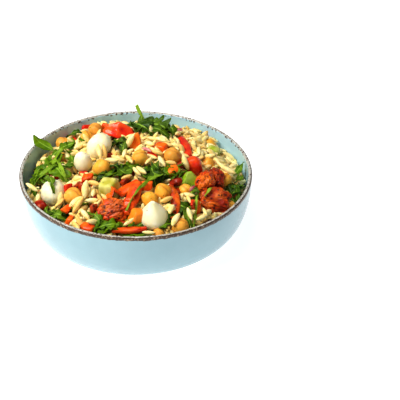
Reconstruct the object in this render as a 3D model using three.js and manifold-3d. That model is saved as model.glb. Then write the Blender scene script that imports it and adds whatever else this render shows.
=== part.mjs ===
// Orzo salad heaped in a round stoneware bowl. Millimetres, Z up, the middle of the bowl's foot at the
// origin and the front of the bowl towards -Y.
import * as THREE from 'three';
import { mergeVertices } from 'three/addons/utils/BufferGeometryUtils.js';
import Module from 'manifold-3d';

const wasm = await Module();
wasm.setup();

// Bowl
const rimRadius = 90;
const bowlHeight = 47;
const wallThickness = 3;
const wallStartRadius = 54;
const floorRadius = 62;
const footRadius = 54;
const footWidth = 4;
const footHeight = 1.2;
const footChamfer = 0.6;
const bowlSegments = 44;

// The wall's section is a quarter of a superellipse: square across, rounder upwards.
const wallSquareness = 4;
const wallRoundness = 2.43;

// Heap of salad
const crownHeight = 58;
const edgeHeight = 37;
const crownFullness = 2.4;
const grainCover = 2;
const heapSegments = 30;
const heapRings = 8;

// Orzo grain
const grainLength = 11.5;
const grainWidth = 4.4;
const grainSpacing = 7;
const grainReach = 78;
const grainCount = 87;
const grainsTried = 2600;

// Clear space between neighbours
const clearance = 0.35;
const seed = 20;

const group = new THREE.Group();
const up = new THREE.Vector3(0, 0, 1);

// Repeatable random numbers from 0 to 1
function randomFrom(start) {
  let state = start;
  return () => {
    state = (state + 0x6d2b79f5) | 0;
    let mixed = Math.imul(state ^ (state >>> 15), 1 | state);
    mixed = (mixed + Math.imul(mixed ^ (mixed >>> 7), 61 | mixed)) ^ mixed;
    return ((mixed ^ (mixed >>> 14)) >>> 0) / 4294967296;
  };
}
const random = randomFrom(seed);
const between = (low, high) => low + (high - low) * random();

// Geometry to solid and back

function toSolid(geometry) {
  const bare = geometry.clone();
  bare.deleteAttribute('normal');
  bare.deleteAttribute('uv');
  const joined = mergeVertices(bare, 1e-4);
  const corners = [];
  for (let i = 0; i < joined.index.count; i += 3) {
    const [a, b, c] = [0, 1, 2].map((k) => joined.index.getX(i + k));
    if (a !== b && b !== c && c !== a) corners.push(a, b, c);
  }
  const vertProperties = joined.attributes.position.array;
  const build = (order) => new wasm.Manifold(
    new wasm.Mesh({ numProp: 3, vertProperties, triVerts: new Uint32Array(order) }));
  const solid = build(corners);
  return solid.volume() > 0 ? solid : build(corners.reverse());
}

function toGeometry(solid) {
  const mesh = solid.getMesh();
  const geometry = new THREE.BufferGeometry();
  geometry.setAttribute('position', new THREE.BufferAttribute(mesh.vertProperties, 3));
  geometry.setIndex(new THREE.BufferAttribute(mesh.triVerts, 1));
  geometry.computeVertexNormals();
  return geometry;
}

// The main body of a solid, without scraps and with its sealed hollows filled
function largest(solid) {
  const bodies = solid.decompose();
  return bodies.reduce((best, body) => (body.volume() > best.volume() ? body : best));
}

// Solid between rings of equal count; a ring of one point closes an end.
function ringSolid(rings) {
  const points = rings.flat();
  const index = [];
  let start = 0;
  for (let k = 0; k + 1 < rings.length; k += 1) {
    const [low, high] = [rings[k].length, rings[k + 1].length];
    const next = start + low;
    const count = Math.max(low, high);
    for (let i = 0; i < count; i += 1) {
      const j = (i + 1) % count;
      const [a, b] = low === 1 ? [start, start] : [start + i, start + j];
      const [c, d] = high === 1 ? [next, next] : [next + i, next + j];
      if (low > 1) index.push(a, b, d);
      if (high > 1) index.push(a, d, c);
    }
    start = next;
  }
  const geometry = new THREE.BufferGeometry().setFromPoints(points);
  geometry.setIndex(index);
  return geometry;
}

// Thin solid round a middle face, which place(s, t) gives for s from 0 to 1 along and t from -1 to 1 across
function sheetSolid(rows, columns, thickness, place) {
  const step = 0.01;
  const faces = [1, -1].map((side) => {
    const points = [];
    for (let i = 0; i <= rows; i += 1) {
      for (let j = 0; j <= columns; j += 1) {
        const [s, t] = [i / rows, (2 * j) / columns - 1];
        const point = place(s, t);
        const along = place(s + step, t).sub(place(s - step, t));
        const across = place(s, t + step).sub(place(s, t - step));
        const normal = along.cross(across).normalize();
        points.push(point.addScaledVector(normal, (side * thickness) / 2));
      }
    }
    return points;
  });
  const width = columns + 1;
  const back = faces[0].length;
  const index = [];
  for (let i = 0; i < rows; i += 1) {
    for (let j = 0; j < columns; j += 1) {
      const [a, b, c, d] = [i * width + j, i * width + j + 1, (i + 1) * width + j, (i + 1) * width + j + 1];
      index.push(a, c, d, a, d, b, back + a, back + d, back + c, back + a, back + b, back + d);
    }
  }
  const edge = [];
  for (let j = 0; j < columns; j += 1) edge.push(j);
  for (let i = 0; i < rows; i += 1) edge.push(i * width + columns);
  for (let j = columns; j > 0; j -= 1) edge.push(rows * width + j);
  for (let i = rows; i > 0; i -= 1) edge.push(i * width);
  edge.forEach((a, k) => {
    const b = edge[(k + 1) % edge.length];
    index.push(a, b, back + b, a, back + b, back + a);
  });
  const geometry = new THREE.BufferGeometry().setFromPoints(faces.flat());
  geometry.setIndex(index);
  return geometry;
}

// Moves each corner of a geometry by reshape(point).
function reshaped(geometry, reshape) {
  const position = geometry.attributes.position;
  const point = new THREE.Vector3();
  for (let i = 0; i < position.count; i += 1) {
    point.fromBufferAttribute(position, i);
    reshape(point);
    position.setXYZ(i, point.x, point.y, point.z);
  }
  return geometry;
}

function material(colour, roughness) {
  return new THREE.MeshStandardMaterial({ color: colour, roughness, metalness: 0 });
}

function addMesh(name, geometry, finish) {
  const mesh = new THREE.Mesh(geometry, finish);
  mesh.name = name;
  group.add(mesh);
  return mesh;
}

// Bowl

const glaze = material('#b7d6e0', 0.22);
const floorHeight = footHeight + wallThickness;

// Outside of the wall's section, from its start at angle 0 to the rim at angle 90
function wallPoint(endRadius, angle) {
  const turn = THREE.MathUtils.degToRad(angle);
  const radius = wallStartRadius + (endRadius - wallStartRadius) * Math.sin(turn) ** (2 / wallSquareness);
  const height = bowlHeight - bowlHeight * Math.cos(turn) ** (2 / wallRoundness);
  return new THREE.Vector2(radius, height);
}

// Radius of the inner wall at a height, drawn in by a margin
function innerRadius(height, margin = 0) {
  const start = wallStartRadius - wallThickness;
  const rise = Math.min(1, Math.max(0, (bowlHeight - height) / (bowlHeight - floorHeight)));
  const spread = (1 - rise ** wallRoundness) ** (1 / wallSquareness);
  return start + (rimRadius - wallThickness - start) * spread - margin;
}

// Heights of the inner wall's corners, as shares of the way from the floor to the rim
const innerSteps = [0.75, 0.45, 0.2, 0.07];

function bowlProfile(grow) {
  const lip = wallThickness / 2;
  const points = [
    new THREE.Vector2(0, footHeight - grow),
    new THREE.Vector2(footRadius - footWidth, footHeight - grow),
    new THREE.Vector2(footRadius - footWidth + footChamfer, 0),
    new THREE.Vector2(footRadius - footChamfer, 0),
    new THREE.Vector2(footRadius, footHeight),
  ];
  for (let angle = 15; angle <= 75; angle += 12) points.push(wallPoint(rimRadius + grow, angle));
  for (let angle = 0; angle <= 180; angle += 60) {
    const turn = THREE.MathUtils.degToRad(angle);
    const middle = new THREE.Vector2(rimRadius - lip, bowlHeight - lip);
    points.push(middle.add(new THREE.Vector2(Math.cos(turn), Math.sin(turn)).multiplyScalar(lip + grow)));
  }
  for (const share of innerSteps) {
    const height = floorHeight + (bowlHeight - floorHeight) * share;
    points.push(new THREE.Vector2(innerRadius(height, grow), height + grow));
  }
  points.push(new THREE.Vector2(floorRadius, floorHeight + grow));
  points.push(new THREE.Vector2(0, floorHeight + grow));
  return points;
}

const bowlGeometry = (grow) => new THREE.LatheGeometry(bowlProfile(grow), bowlSegments)
  .rotateX(Math.PI / 2);
addMesh('bowl', toGeometry(toSolid(bowlGeometry(0))), glaze);

// Surface of the heap: highest in the middle, lower where it meets the wall at the sides than in front, and
// lowest at the right

function saladTop(x, y) {
  const angle = Math.atan2(y, x);
  const rightDip = 2.5 * Math.max(0, Math.cos(angle - 0.35)) ** 4;
  const edge = edgeHeight - 2 * Math.sin(angle) - 3 * Math.cos(2 * angle) - rightDip;
  const reach = Math.min(1, Math.hypot(x, y) / (rimRadius - wallThickness));
  return edge + (crownHeight - edge) * (1 - reach ** crownFullness);
}

// The bare heap under its outer grains, with low uneven waves
function coreTop(x, y) {
  const waves = 0.7 * Math.sin(x / 7 + 1) * Math.cos(y / 8) + 0.5 * Math.sin(y / 5 - x / 11);
  return saladTop(x, y) - grainCover + waves;
}

function coreGeometry(grow) {
  const ring = (place) => Array.from({ length: heapSegments }, (_, i) => {
    const turn = (2 * Math.PI * i) / heapSegments;
    return place(Math.cos(turn), Math.sin(turn));
  });
  const margin = 2 * clearance - grow;
  const low = floorHeight + clearance;
  const level = (radius, z) => ring((cos, sin) => new THREE.Vector3(cos * radius, sin * radius, z));
  const rings = [[new THREE.Vector3(0, 0, low)], level(floorRadius - margin, low)];
  for (const share of [innerSteps[3], innerSteps[1]]) {
    const height = floorHeight + (bowlHeight - floorHeight) * share;
    rings.push(level(innerRadius(height, margin), height + clearance));
  }
  rings.push(ring((cos, sin) => {
    const height = coreTop(cos * rimRadius, sin * rimRadius) + grow;
    const radius = innerRadius(height, margin);
    return new THREE.Vector3(cos * radius, sin * radius, height);
  }));
  for (let k = heapRings - 1; k > 0; k -= 1) {
    rings.push(ring((cos, sin) => {
      const radius = ((rimRadius - wallThickness - 1) * k) / heapRings;
      return new THREE.Vector3(cos * radius, sin * radius, coreTop(cos * radius, sin * radius) + grow);
    }));
  }
  rings.push([new THREE.Vector3(0, 0, coreTop(0, 0) + grow)]);
  return ringSolid(rings);
}

// Everything that a new piece has to stay clear of
let taken = toSolid(bowlGeometry(clearance)).add(toSolid(coreGeometry(clearance)));

// Round pieces that leaves and strips lie on
const humps = [];

function ground(x, y) {
  let height = coreTop(x, y) + clearance;
  for (const hump of humps) {
    const away = Math.hypot(x - hump.x, y - hump.y) / hump.width;
    if (away < 1) height = Math.max(height, hump.z + hump.tall * Math.sqrt(1 - away * away) + clearance);
  }
  return height;
}

// Cuts a piece clear of what is there already and adds it. make(grow) gives its shape, fatter by grow
// all round.
function addPiece(name, finish, make, place) {
  const frame = new THREE.Object3D();
  frame.position.set(place.x, place.y, place.z);
  const toTurn = (angle = 0) => THREE.MathUtils.degToRad(angle);
  const [roll, lean, turn] = [place.roll, place.lean, place.turn].map(toTurn);
  frame.rotation.set(roll, lean, turn, 'ZYX');
  frame.updateMatrixWorld();
  const solid = largest(toSolid(make(0).applyMatrix4(frame.matrixWorld)).subtract(taken));
  taken = taken.add(toSolid(make(clearance).applyMatrix4(frame.matrixWorld)));
  const mesh = addMesh(name, toGeometry(solid).applyMatrix4(frame.matrixWorld.clone().invert()), finish);
  mesh.position.copy(frame.position);
  mesh.rotation.copy(frame.rotation);
  return mesh;
}

// A thick piece rests in the heap at x and y, with its middle lift above the salad's surface.
function addThick(name, finish, make, size, place) {
  const z = saladTop(place.x, place.y) + place.lift;
  addPiece(name, finish, make, { ...place, z });
  humps.push({ x: place.x, y: place.y, z, width: size.wide / 2, tall: size.tall / 2 });
}

// Mozzarella pearls: balls that narrow towards the top, some with a flattened top

function pearlGeometry(size, grow) {
  const ball = new THREE.SphereGeometry(1, 12, 8).rotateX(Math.PI / 2);
  return reshaped(ball, (point) => {
    const height = Math.min(point.z, 1 - size.flat);
    const width = (size.wide / 2 + grow) * (1 - size.taper * (height + 0.3));
    point.set(point.x * width, point.y * width, height * (size.tall / 2 + grow));
  });
}

function addPearl(name, size, place) {
  addThick(name, material('#f6f2dc', 0.35), (grow) => pearlGeometry(size, grow), size, place);
}

addPearl('mozzarella_back', { wide: 17, tall: 23, taper: -0.1, flat: 0 },
  { x: -30, y: 11, lift: 3, lean: 48, turn: 38 });
addPearl('mozzarella_left', { wide: 14, tall: 18, taper: 0.08, flat: 0 },
  { x: -40, y: -9, lift: 3, lean: -12, turn: 60 });
addPearl('mozzarella_rim', { wide: 19, tall: 19, taper: 0, flat: 0 },
  { x: -59, y: -38, lift: 3, lean: 10, turn: 20 });
addPearl('mozzarella_front', { wide: 21.5, tall: 23, taper: 0.55, flat: 0.1 },
  { x: 17, y: -67, lift: 4.5, lean: -8, turn: 70 });

// Roasted tomato pieces: shrunken skin in folds, or the cut side with its pulp inside a raised edge

function tomatoGeometry(size, grow) {
  const ball = new THREE.SphereGeometry(1, 14, 8).rotateX(Math.PI / 2);
  return reshaped(ball, (point) => {
    const around = Math.atan2(point.y, point.x);
    const out = Math.hypot(point.x, point.y);
    const folds = 1 + size.folds * out * Math.sin(size.lobes * around + 3 * point.z);
    const pulp = 0.16 * Math.sin(5 * point.x + 1) * Math.cos(5 * point.y);
    const dish = point.z > 0 ? 1 - size.dish * Math.exp(-((out / 0.62) ** 2)) + size.dish * pulp : 1;
    point.x *= (size.long / 2 + grow) * folds;
    point.y *= (size.wide / 2 + grow) * folds;
    point.z *= (size.tall / 2 + grow) * dish;
  });
}

function addTomato(name, size, place) {
  addThick(name, material('#c8401a', 0.4), (grow) => tomatoGeometry(size, grow), size, place);
}

addTomato('roasted_tomato_skin', { long: 19, wide: 14.5, tall: 16, folds: 0.07, lobes: 3, dish: 0 },
  { x: 53.5, y: -22.5, lift: 2.5, turn: 70, lean: 10 });
addTomato('roasted_tomato_fold', { long: 20, wide: 13, tall: 14, folds: 0.12, lobes: 4, dish: 0 },
  { x: 62, y: -11.5, lift: 1.5, turn: 100 });
addTomato('roasted_tomato_cut', { long: 25, wide: 20, tall: 15, folds: 0.1, lobes: 5, dish: 0.6 },
  { x: 60.5, y: -37.5, lift: 1.5, turn: 15, roll: 20 });
addTomato('roasted_tomato_wedge', { long: 25, wide: 17, tall: 13, folds: 0.08, lobes: 4, dish: 0.2 },
  { x: -12.5, y: -62.5, lift: 1, turn: 12, roll: 30, lean: -12 });

// Chickpeas: nearly round, with a groove over the top and a small beak at one end

function chickpeaGeometry(size, grow) {
  return reshaped(new THREE.IcosahedronGeometry(1, 1), (point) => {
    const groove = 0.1 * Math.exp(-((point.y / 0.3) ** 2)) * Math.max(0, point.z);
    const beak = 0.16 * Math.max(0, point.x) ** 4;
    point.multiplyScalar((size / 2 + grow) * (1 - groove + beak));
  });
}

// Each place is right of the middle, behind it, and the lift above the surface, for a pea of this width.
const chickpeaPlaces = [
  { x: -43, y: -46, lift: 2.5, size: 13 },
  { x: -24.5, y: -18, lift: 2.5, size: 13 },
  { x: 3.5, y: -5.5, lift: 2.5, size: 12.5 },
  { x: 28, y: 2.5, lift: 2.5, size: 13 },
  { x: 23, y: -43, lift: 2.5, size: 12.5 },
  { x: 13, y: -52, lift: 1, size: 12 },
  { x: 36, y: -70.5, lift: 0.5, size: 12 },
  { x: -37, y: 51, lift: 2, size: 12 },
  { x: -43, y: 37, lift: 1, size: 11 },
  { x: -64, y: 46, lift: -0.5, size: 11 },
  { x: -59, y: 8, lift: 0, size: 11 },
  { x: 68, y: -8.5, lift: 0.5, size: 12 },
  { x: 71, y: -36, lift: -1, size: 11.5 },
  { x: 56, y: 48, lift: -1, size: 12 },
  { x: 55, y: 9.5, lift: -2, size: 11 },
  { x: 39, y: -34.5, lift: -1.5, size: 10.5 },
  { x: 21, y: -78, lift: -2.5, size: 10.5 },
];

chickpeaPlaces.forEach((place, i) => {
  const name = `chickpea_${String(i + 1).padStart(2, '0')}`;
  const shape = (grow) => chickpeaGeometry(place.size, grow);
  const turned = { ...place, turn: between(0, 360), lean: between(-50, 30) };
  addThick(name, material('#e8b04e', 0.4), shape, { wide: place.size, tall: place.size }, turned);
});

// Cut chunks of pepper, carrot and courgette: blocks with rounded corners that narrow towards one end

function chunkGeometry(size, grow) {
  const block = new THREE.BoxGeometry(2, 2, 2, 2, 2, 2);
  return reshaped(block, (point) => {
    const sum = ['x', 'y', 'z'].reduce((total, axis) => total + Math.abs(point[axis]) ** size.square, 0);
    point.multiplyScalar(1 / sum ** (1 / size.square));
    const narrow = 1 - size.taper * point.z;
    point.x *= (size.long / 2 + grow) * narrow;
    point.y *= (size.wide / 2 + grow) * narrow;
    point.z *= size.tall / 2 + grow;
  });
}

function addChunk(name, colour, size, place) {
  addThick(name, material(colour, 0.3), (grow) => chunkGeometry(size, grow), size, place);
}

const red = '#d8281a';
const orange = '#e8591c';
const darkRed = '#a8301c';

addChunk('pepper_red_wedge', red, { long: 24, wide: 9, tall: 14, square: 2.3, taper: 0.15 },
  { x: -17, y: 42.5, lift: 3, turn: -8, roll: -30 });
addChunk('pepper_orange_point', orange, { long: 8, wide: 6, tall: 17, square: 4, taper: 0.45 },
  { x: -2, y: 17, lift: 3, lean: 10 });
addChunk('pepper_red_round', red, { long: 12, wide: 11, tall: 15, square: 2.6, taper: 0 },
  { x: 45, y: -5.5, lift: 2, lean: -14 });
addChunk('carrot_front', orange, { long: 9.5, wide: 10, tall: 12, square: 3, taper: 0.1 },
  { x: 5, y: -68.5, lift: 1.5, turn: 25, lean: 14 });
addChunk('carrot_middle', orange, { long: 11, wide: 9, tall: 9, square: 4, taper: 0 },
  { x: 29, y: -18, lift: 0.5, turn: 30 });
addChunk('carrot_back', orange, { long: 9.5, wide: 8, tall: 8.5, square: 4, taper: 0 },
  { x: 18.5, y: 13, lift: 0.5, turn: -20 });
addChunk('pepper_dark_left', darkRed, { long: 9, wide: 10, tall: 10, square: 3, taper: 0 },
  { x: -68, y: -45.5, lift: -0.5, turn: 35 });
addChunk('pepper_right', orange, { long: 7, wide: 9, tall: 10, square: 3, taper: 0 },
  { x: 47.5, y: -50, lift: 0.5, turn: 10 });
addChunk('courgette_chunk', '#c6c244', { long: 13.5, wide: 12.5, tall: 16, square: 5, taper: 0.05 },
  { x: -16.5, y: -43, lift: 2.5, turn: -24, lean: -10, roll: 12 });
addChunk('courgette_green', '#8fb52a', { long: 11, wide: 8, tall: 11, square: 5, taper: 0.7 },
  { x: 42, y: -22.5, lift: 1.5, turn: 20 });
addChunk('courgette_back', '#bcc255', { long: 11, wide: 9, tall: 8, square: 3, taper: 0 },
  { x: 59.5, y: 30, lift: 1.5, turn: -20 });

// Strips and leaves lie along the heap from one place to another. Their middle line stands lift above what
// is under it, at the start, half way and at the end, and bows sideways.

function trail(shape) {
  const [start, end] = [shape.from, shape.to].map(([x, y]) => new THREE.Vector3(x, y, 0));
  const side = end.clone().sub(start).cross(up).normalize();
  const [first, middle, last] = shape.lift;
  const level = shape.level ?? ground;
  return (s, across) => {
    const spine = start.clone().lerp(end, s).addScaledVector(side, shape.bow * 4 * s * (1 - s));
    const lift = first * (1 - s) * (1 - 2 * s) + middle * 4 * s * (1 - s) + last * s * (2 * s - 1);
    const height = level(spine.x, spine.y) + lift;
    return spine.addScaledVector(side, across).setZ(height);
  };
}

function addLaid(name, finish, rows, columns, shape) {
  const middle = new THREE.Vector3(shape.from[0], shape.from[1], saladTop(...shape.from));
  const follow = trail(shape);
  const make = (grow) => sheetSolid(rows, columns, shape.thick + 2 * grow, (s, t) => {
    const point = follow(s, t * (shape.halfWidth(s) + grow));
    point.z += shape.cup * t * t * shape.halfWidth(s) + shape.wave * t * Math.sin(9 * s + shape.phase);
    return point;
  }).translate(-middle.x, -middle.y, -middle.z);
  addPiece(name, finish, make, middle);
}

// Strips of pepper and dried tomato, narrowed at both ends

function addStrip(name, colour, shape) {
  const whole = { bow: 0, cup: -0.25, wave: 0, phase: 0, thick: 3, ...shape };
  whole.halfWidth = (s) => {
    const swell = Math.sin(Math.PI * Math.min(1, Math.max(0, s))) ** 0.5;
    return (whole.wide / 2) * (0.45 + 0.55 * swell);
  };
  addLaid(name, material(colour, 0.3), 6, 2, whole);
}

addStrip('pepper_strip_back', red, { from: [33, 40], to: [40.5, 8], wide: 8.5, lift: [2, 2.5, 2] });
addStrip('pepper_fold_across', orange, { from: [-18, -52], to: [4, -36.5], wide: 8.5, bow: 1.5,
  lift: [4.5, 7, 8] });
addStrip('pepper_fold_down', orange, { from: [4.5, -40], to: [-2, -67], wide: 10, lift: [7.5, 6, 2.5] });
addStrip('pepper_strip_front', red, { from: [-12, -79], to: [13, -78], wide: 5.5, bow: 1.5,
  lift: [2.2, 3.8, 3.4] });
addStrip('pepper_front_left', orange, { from: [-34, -72], to: [-25, -77], wide: 9, lift: [2, 2.6, 2] });
addStrip('dried_tomato_strip', darkRed, { from: [27.5, -34], to: [31, -68], wide: 7, bow: -3,
  lift: [2, 3.5, 2] });

// Rocket: a stem, then a blade whose edge swells into lobes, up to a pointed tip

function lobedWidth(shape) {
  return (s) => {
    const along = Math.min(1, Math.max(0, (s - shape.stem) / (1 - shape.stem)));
    const lobes = 0.42 + 0.58 * Math.abs(Math.sin(Math.PI * shape.lobes * along));
    const blade = (shape.wide / 2) * lobes * Math.sin(Math.PI * Math.min(0.96, along)) ** 0.5;
    return Math.max(0.7, blade);
  };
}

function addLeaf(name, colour, shape) {
  const whole = { stem: 0.15, lobes: 2.5, thick: 0.8, bow: 0, cup: 0.15, wave: 1, phase: 0, ...shape };
  addLaid(name, material(colour, 0.45), 8, 2, { ...whole, halfWidth: lobedWidth(whole) });
}

const leafGreen = '#3f7d18';
const darkGreen = '#1f4d0e';
const paleGreen = '#8fb83c';
const overRim = (x, y) => Math.max(ground(x, y), saladTop(x, y));

addLeaf('rocket_over_rim', leafGreen, { from: [-68.5, 28.5], to: [-84.5, 34.5], wide: 12.5, lobes: 0.9,
  stem: 0, lift: [1.5, 9.5, 19.3], level: overRim });
addLeaf('rocket_left_back', leafGreen, { from: [-70, 25], to: [-46, 31], wide: 12, lift: [0.6, 3.5, 1.5] });
addLeaf('rocket_stem_back', paleGreen, { from: [9, 46], to: [-4, 64], wide: 4, lobes: 0.8, stem: 0.3,
  lift: [0.6, 8, 20] });
addLeaf('rocket_back_right', leafGreen, { from: [-1, 59], to: [28, 43], wide: 19, wave: 3,
  lift: [2, 6.5, 1.5] });
addLeaf('rocket_back_middle', darkGreen, { from: [-11, 57], to: [11, 33], wide: 17, wave: 2.5,
  lift: [2, 7, 1.5] });
addLeaf('rocket_left_wall', leafGreen, { from: [-80, -14], to: [-60, 6], wide: 16, wave: 2,
  lift: [0.6, 4, 2] });
addLeaf('rocket_left', leafGreen, { from: [-69, 8], to: [-51, -26], wide: 16, wave: 2,
  lift: [1.5, 4, 1.5] });
addLeaf('rocket_by_pearl', leafGreen, { from: [-53, 20], to: [-49, -5], wide: 12, lift: [0.6, 3, 1] });
addLeaf('rocket_middle', darkGreen, { from: [11, -10], to: [17, -37], wide: 15, lift: [0.6, 3.5, 1.2] });
addLeaf('rocket_small_middle', darkGreen, { from: [-19, -29], to: [2, -16], wide: 10,
  lift: [0.6, 2.5, 1.2] });
addLeaf('rocket_front_left', darkGreen, { from: [-64, -50], to: [-46, -66], wide: 14, lift: [0.6, 3, 1] });
addLeaf('rocket_front', leafGreen, { from: [-26, -78], to: [-6, -75], wide: 11, lift: [0.8, 4, 1.5] });
addLeaf('rocket_right_tip', leafGreen, { from: [74.5, 3], to: [83.5, 15], wide: 5.5, lobes: 0.9,
  lift: [0.6, 6, 14] });
addLeaf('rocket_right_curl', darkGreen, { from: [73, -26], to: [81, -8], wide: 14, wave: 2,
  lift: [0.6, 3.5, 2] });
addLeaf('rocket_on_pearl', leafGreen, { from: [-69, -16], to: [-57.4, -46.5], wide: 6.5, stem: 0.4, wave: 0.4,
  lift: [0.6, 2, 2.4] });
addLeaf('rocket_stem_tomato', paleGreen, { from: [48.8, -33], to: [46.5, -67.5], wide: 2.6, stem: 0.5,
  wave: 0.3, lift: [1, 3, 1] });

// Orzo grains that show on the heap, fused to its core where no other piece is in the way

function grainGeometry(length, width) {
  const sides = 5;
  const shoulder = 0.42;
  const rings = [-shoulder, shoulder].map((station) => Array.from({ length: sides }, (_, i) => {
    const turn = (2 * Math.PI * i) / sides;
    const [y, z] = [Math.cos(turn), Math.sin(turn)].map((value) => (value * width) / 2);
    return new THREE.Vector3((station * length) / 2, y, z);
  }));
  const tip = (end) => [new THREE.Vector3((end * length) / 2, -0.12 * width, 0)];
  return ringSolid([tip(-1), ...rings, tip(1)]);
}

// Puts a shape at a place on the core, turned to the slope there, and gives its matrix.
function onSlope(x, y, sink, turn, tilt) {
  const reach = 1;
  const [slopeX, slopeY] = [
    saladTop(x - reach, y) - saladTop(x + reach, y),
    saladTop(x, y - reach) - saladTop(x, y + reach),
  ];
  const slope = new THREE.Vector3(slopeX, slopeY, 2 * reach);
  const frame = new THREE.Object3D();
  frame.quaternion.setFromUnitVectors(up, slope.normalize());
  frame.rotateZ(turn);
  frame.rotateY(tilt);
  frame.position.set(x, y, coreTop(x, y) + sink);
  frame.updateMatrixWorld();
  return frame.matrixWorld;
}

const coreRoom = toSolid(coreGeometry(clearance + 0.01));
const obstacles = taken.subtract(coreRoom);
let heap = toSolid(coreGeometry(0));
const laid = [];
for (let tried = 0; tried < grainsTried && laid.length < grainCount; tried += 1) {
  const radius = grainReach * Math.sqrt(random());
  const angle = between(0, 2 * Math.PI);
  const place = new THREE.Vector2(radius * Math.cos(angle), radius * Math.sin(angle));
  const length = grainLength * between(0.88, 1.1);
  const matrix = onSlope(place.x, place.y, between(0.9, 1.6), between(0, Math.PI), between(-0.25, 0.25));
  if (laid.some((other) => other.distanceTo(place) < grainSpacing)) continue;
  const room = grainGeometry(length + 2 * clearance, grainWidth + 2 * clearance).applyMatrix4(matrix);
  if (!toSolid(room).intersect(obstacles).isEmpty()) continue;
  laid.push(place);
  heap = heap.add(toSolid(grainGeometry(length, grainWidth).applyMatrix4(matrix)));
}

addMesh('salad_heap', toGeometry(largest(heap)), material('#e9d58c', 0.45));

export default group;
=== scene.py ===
import math
import random

import bmesh
import bpy
import numpy as np
from mathutils import Euler, Matrix, Vector, noise
from mathutils.bvhtree import BVHTree


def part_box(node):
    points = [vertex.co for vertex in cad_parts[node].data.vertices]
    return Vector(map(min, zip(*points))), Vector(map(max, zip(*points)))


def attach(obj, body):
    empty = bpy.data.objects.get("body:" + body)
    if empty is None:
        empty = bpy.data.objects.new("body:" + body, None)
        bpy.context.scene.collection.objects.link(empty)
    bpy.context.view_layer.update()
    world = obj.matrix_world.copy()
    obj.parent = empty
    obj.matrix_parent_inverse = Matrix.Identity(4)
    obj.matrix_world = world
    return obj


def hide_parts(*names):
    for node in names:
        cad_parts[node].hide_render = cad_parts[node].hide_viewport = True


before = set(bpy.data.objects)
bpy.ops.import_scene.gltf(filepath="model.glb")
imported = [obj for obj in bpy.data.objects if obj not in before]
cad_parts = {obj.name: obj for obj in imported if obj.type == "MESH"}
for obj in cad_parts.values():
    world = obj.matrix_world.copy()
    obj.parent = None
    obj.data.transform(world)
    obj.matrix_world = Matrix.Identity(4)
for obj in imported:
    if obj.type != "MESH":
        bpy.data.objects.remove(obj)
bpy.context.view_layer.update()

mm = 0.001
scene = bpy.context.scene
scene.view_settings.view_transform = "Standard"
scene.view_settings.gamma = 0.85

# the bowl as it was turned, all in mm
bowl = {
    "rimRadius": 90.0,
    "height": 47.0,
    "wall": 3.0,
    "wallStart": 54.0,
    "footRadius": 54.0,
    "footWidth": 4.0,
    "footHeight": 1.2,
    "squareness": 4.0,
    "roundness": 2.43,
    "wallTurns": (15, 76),
    "around": 176,
}
floorHeight = bowl["footHeight"] + bowl["wall"]

# the heap of salad in it
heap = {"crown": 58.0, "edge": 37.0, "fullness": 2.4, "tilt": 2, "oval": 3, "dip": 2.5, "dipAt": 0.35,
        "cover": 2.0, "within": 82}


def wallRadius(height, start, end, low):
    rise = min(1.0, max(0.0, (bowl["height"] - height) / (bowl["height"] - low)))
    return start + (end - start) * (1 - rise ** bowl["roundness"]) ** (1 / bowl["squareness"])


def innerRadius(height):
    return wallRadius(height, bowl["wallStart"] - bowl["wall"], bowl["rimRadius"] - bowl["wall"], floorHeight)


def saladTop(x, y):
    angle = math.atan2(y, x)
    dip = heap["dip"] * max(0, math.cos(angle - heap["dipAt"])) ** 4
    edge = heap["edge"] - heap["tilt"] * math.sin(angle) - heap["oval"] * math.cos(2 * angle) - dip
    reach = min(1.0, math.hypot(x, y) / (bowl["rimRadius"] - bowl["wall"]))
    return edge + (heap["crown"] - edge) * (1 - reach ** heap["fullness"])


def lumps(point, scale, seed=0.0):
    x, y, z = point
    return noise.noise(Vector((x * scale + seed, y * scale - seed, z * scale + 2 * seed)))


# camera: where the photograph was taken from
cameraSpot = {"place": (50.1, -647.8, 469.6), "down": 34.84, "roll": 1.69, "lens": 89.65}
cameraData = bpy.data.cameras.new("camera")
cameraData.lens = cameraSpot["lens"]
cameraData.sensor_width = 36
cameraData.clip_start = 0.01
camera = bpy.data.objects.new("camera", cameraData)
scene.collection.objects.link(camera)
aim = Euler((math.radians(90 - cameraSpot["down"]), 0, 0)).to_matrix()
tilt = Matrix.Rotation(math.radians(cameraSpot["roll"]), 3, "Z")
camera.rotation_euler = (aim @ tilt).to_euler()
camera.location = Vector(cameraSpot["place"]) * mm
scene.camera = camera

# soft studio light: a large window high at the left, and a bright table that lights from below
lights = {
    "window": {"place": (-460, -250, 710), "size": 420, "watts": 7.6, "tint": (1.0, 0.985, 0.96)},
    "top": {"place": (-180, 40, 900), "size": 500, "watts": 3.2, "tint": (1.0, 1.0, 1.0)},
    "front": {"place": (300, -800, 300), "size": 500, "watts": 0.8, "tint": (0.97, 0.985, 1.0)},
}
for name, spot in lights.items():
    lamp = bpy.data.lights.new(name, "AREA")
    lamp.energy = spot["watts"]
    lamp.size = spot["size"] * mm
    lamp.color = spot["tint"]
    holder = bpy.data.objects.new(name, lamp)
    holder.location = Vector(spot["place"]) * mm
    holder.rotation_euler = (Vector((0, 0, 40)) - Vector(spot["place"])).to_track_quat("-Z", "Y").to_euler()
    scene.collection.objects.link(holder)
room = {"Color": (0.97, 0.985, 1.0, 1), "Strength": 0.2}
scene.world = bpy.data.worlds.new("room")
scene.world.use_nodes = True
for label, value in room.items():
    scene.world.node_tree.nodes["Background"].inputs[label].default_value = value
print("camera and lights are set")


# node groups: each is built once and placed in the materials with its own values

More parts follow.
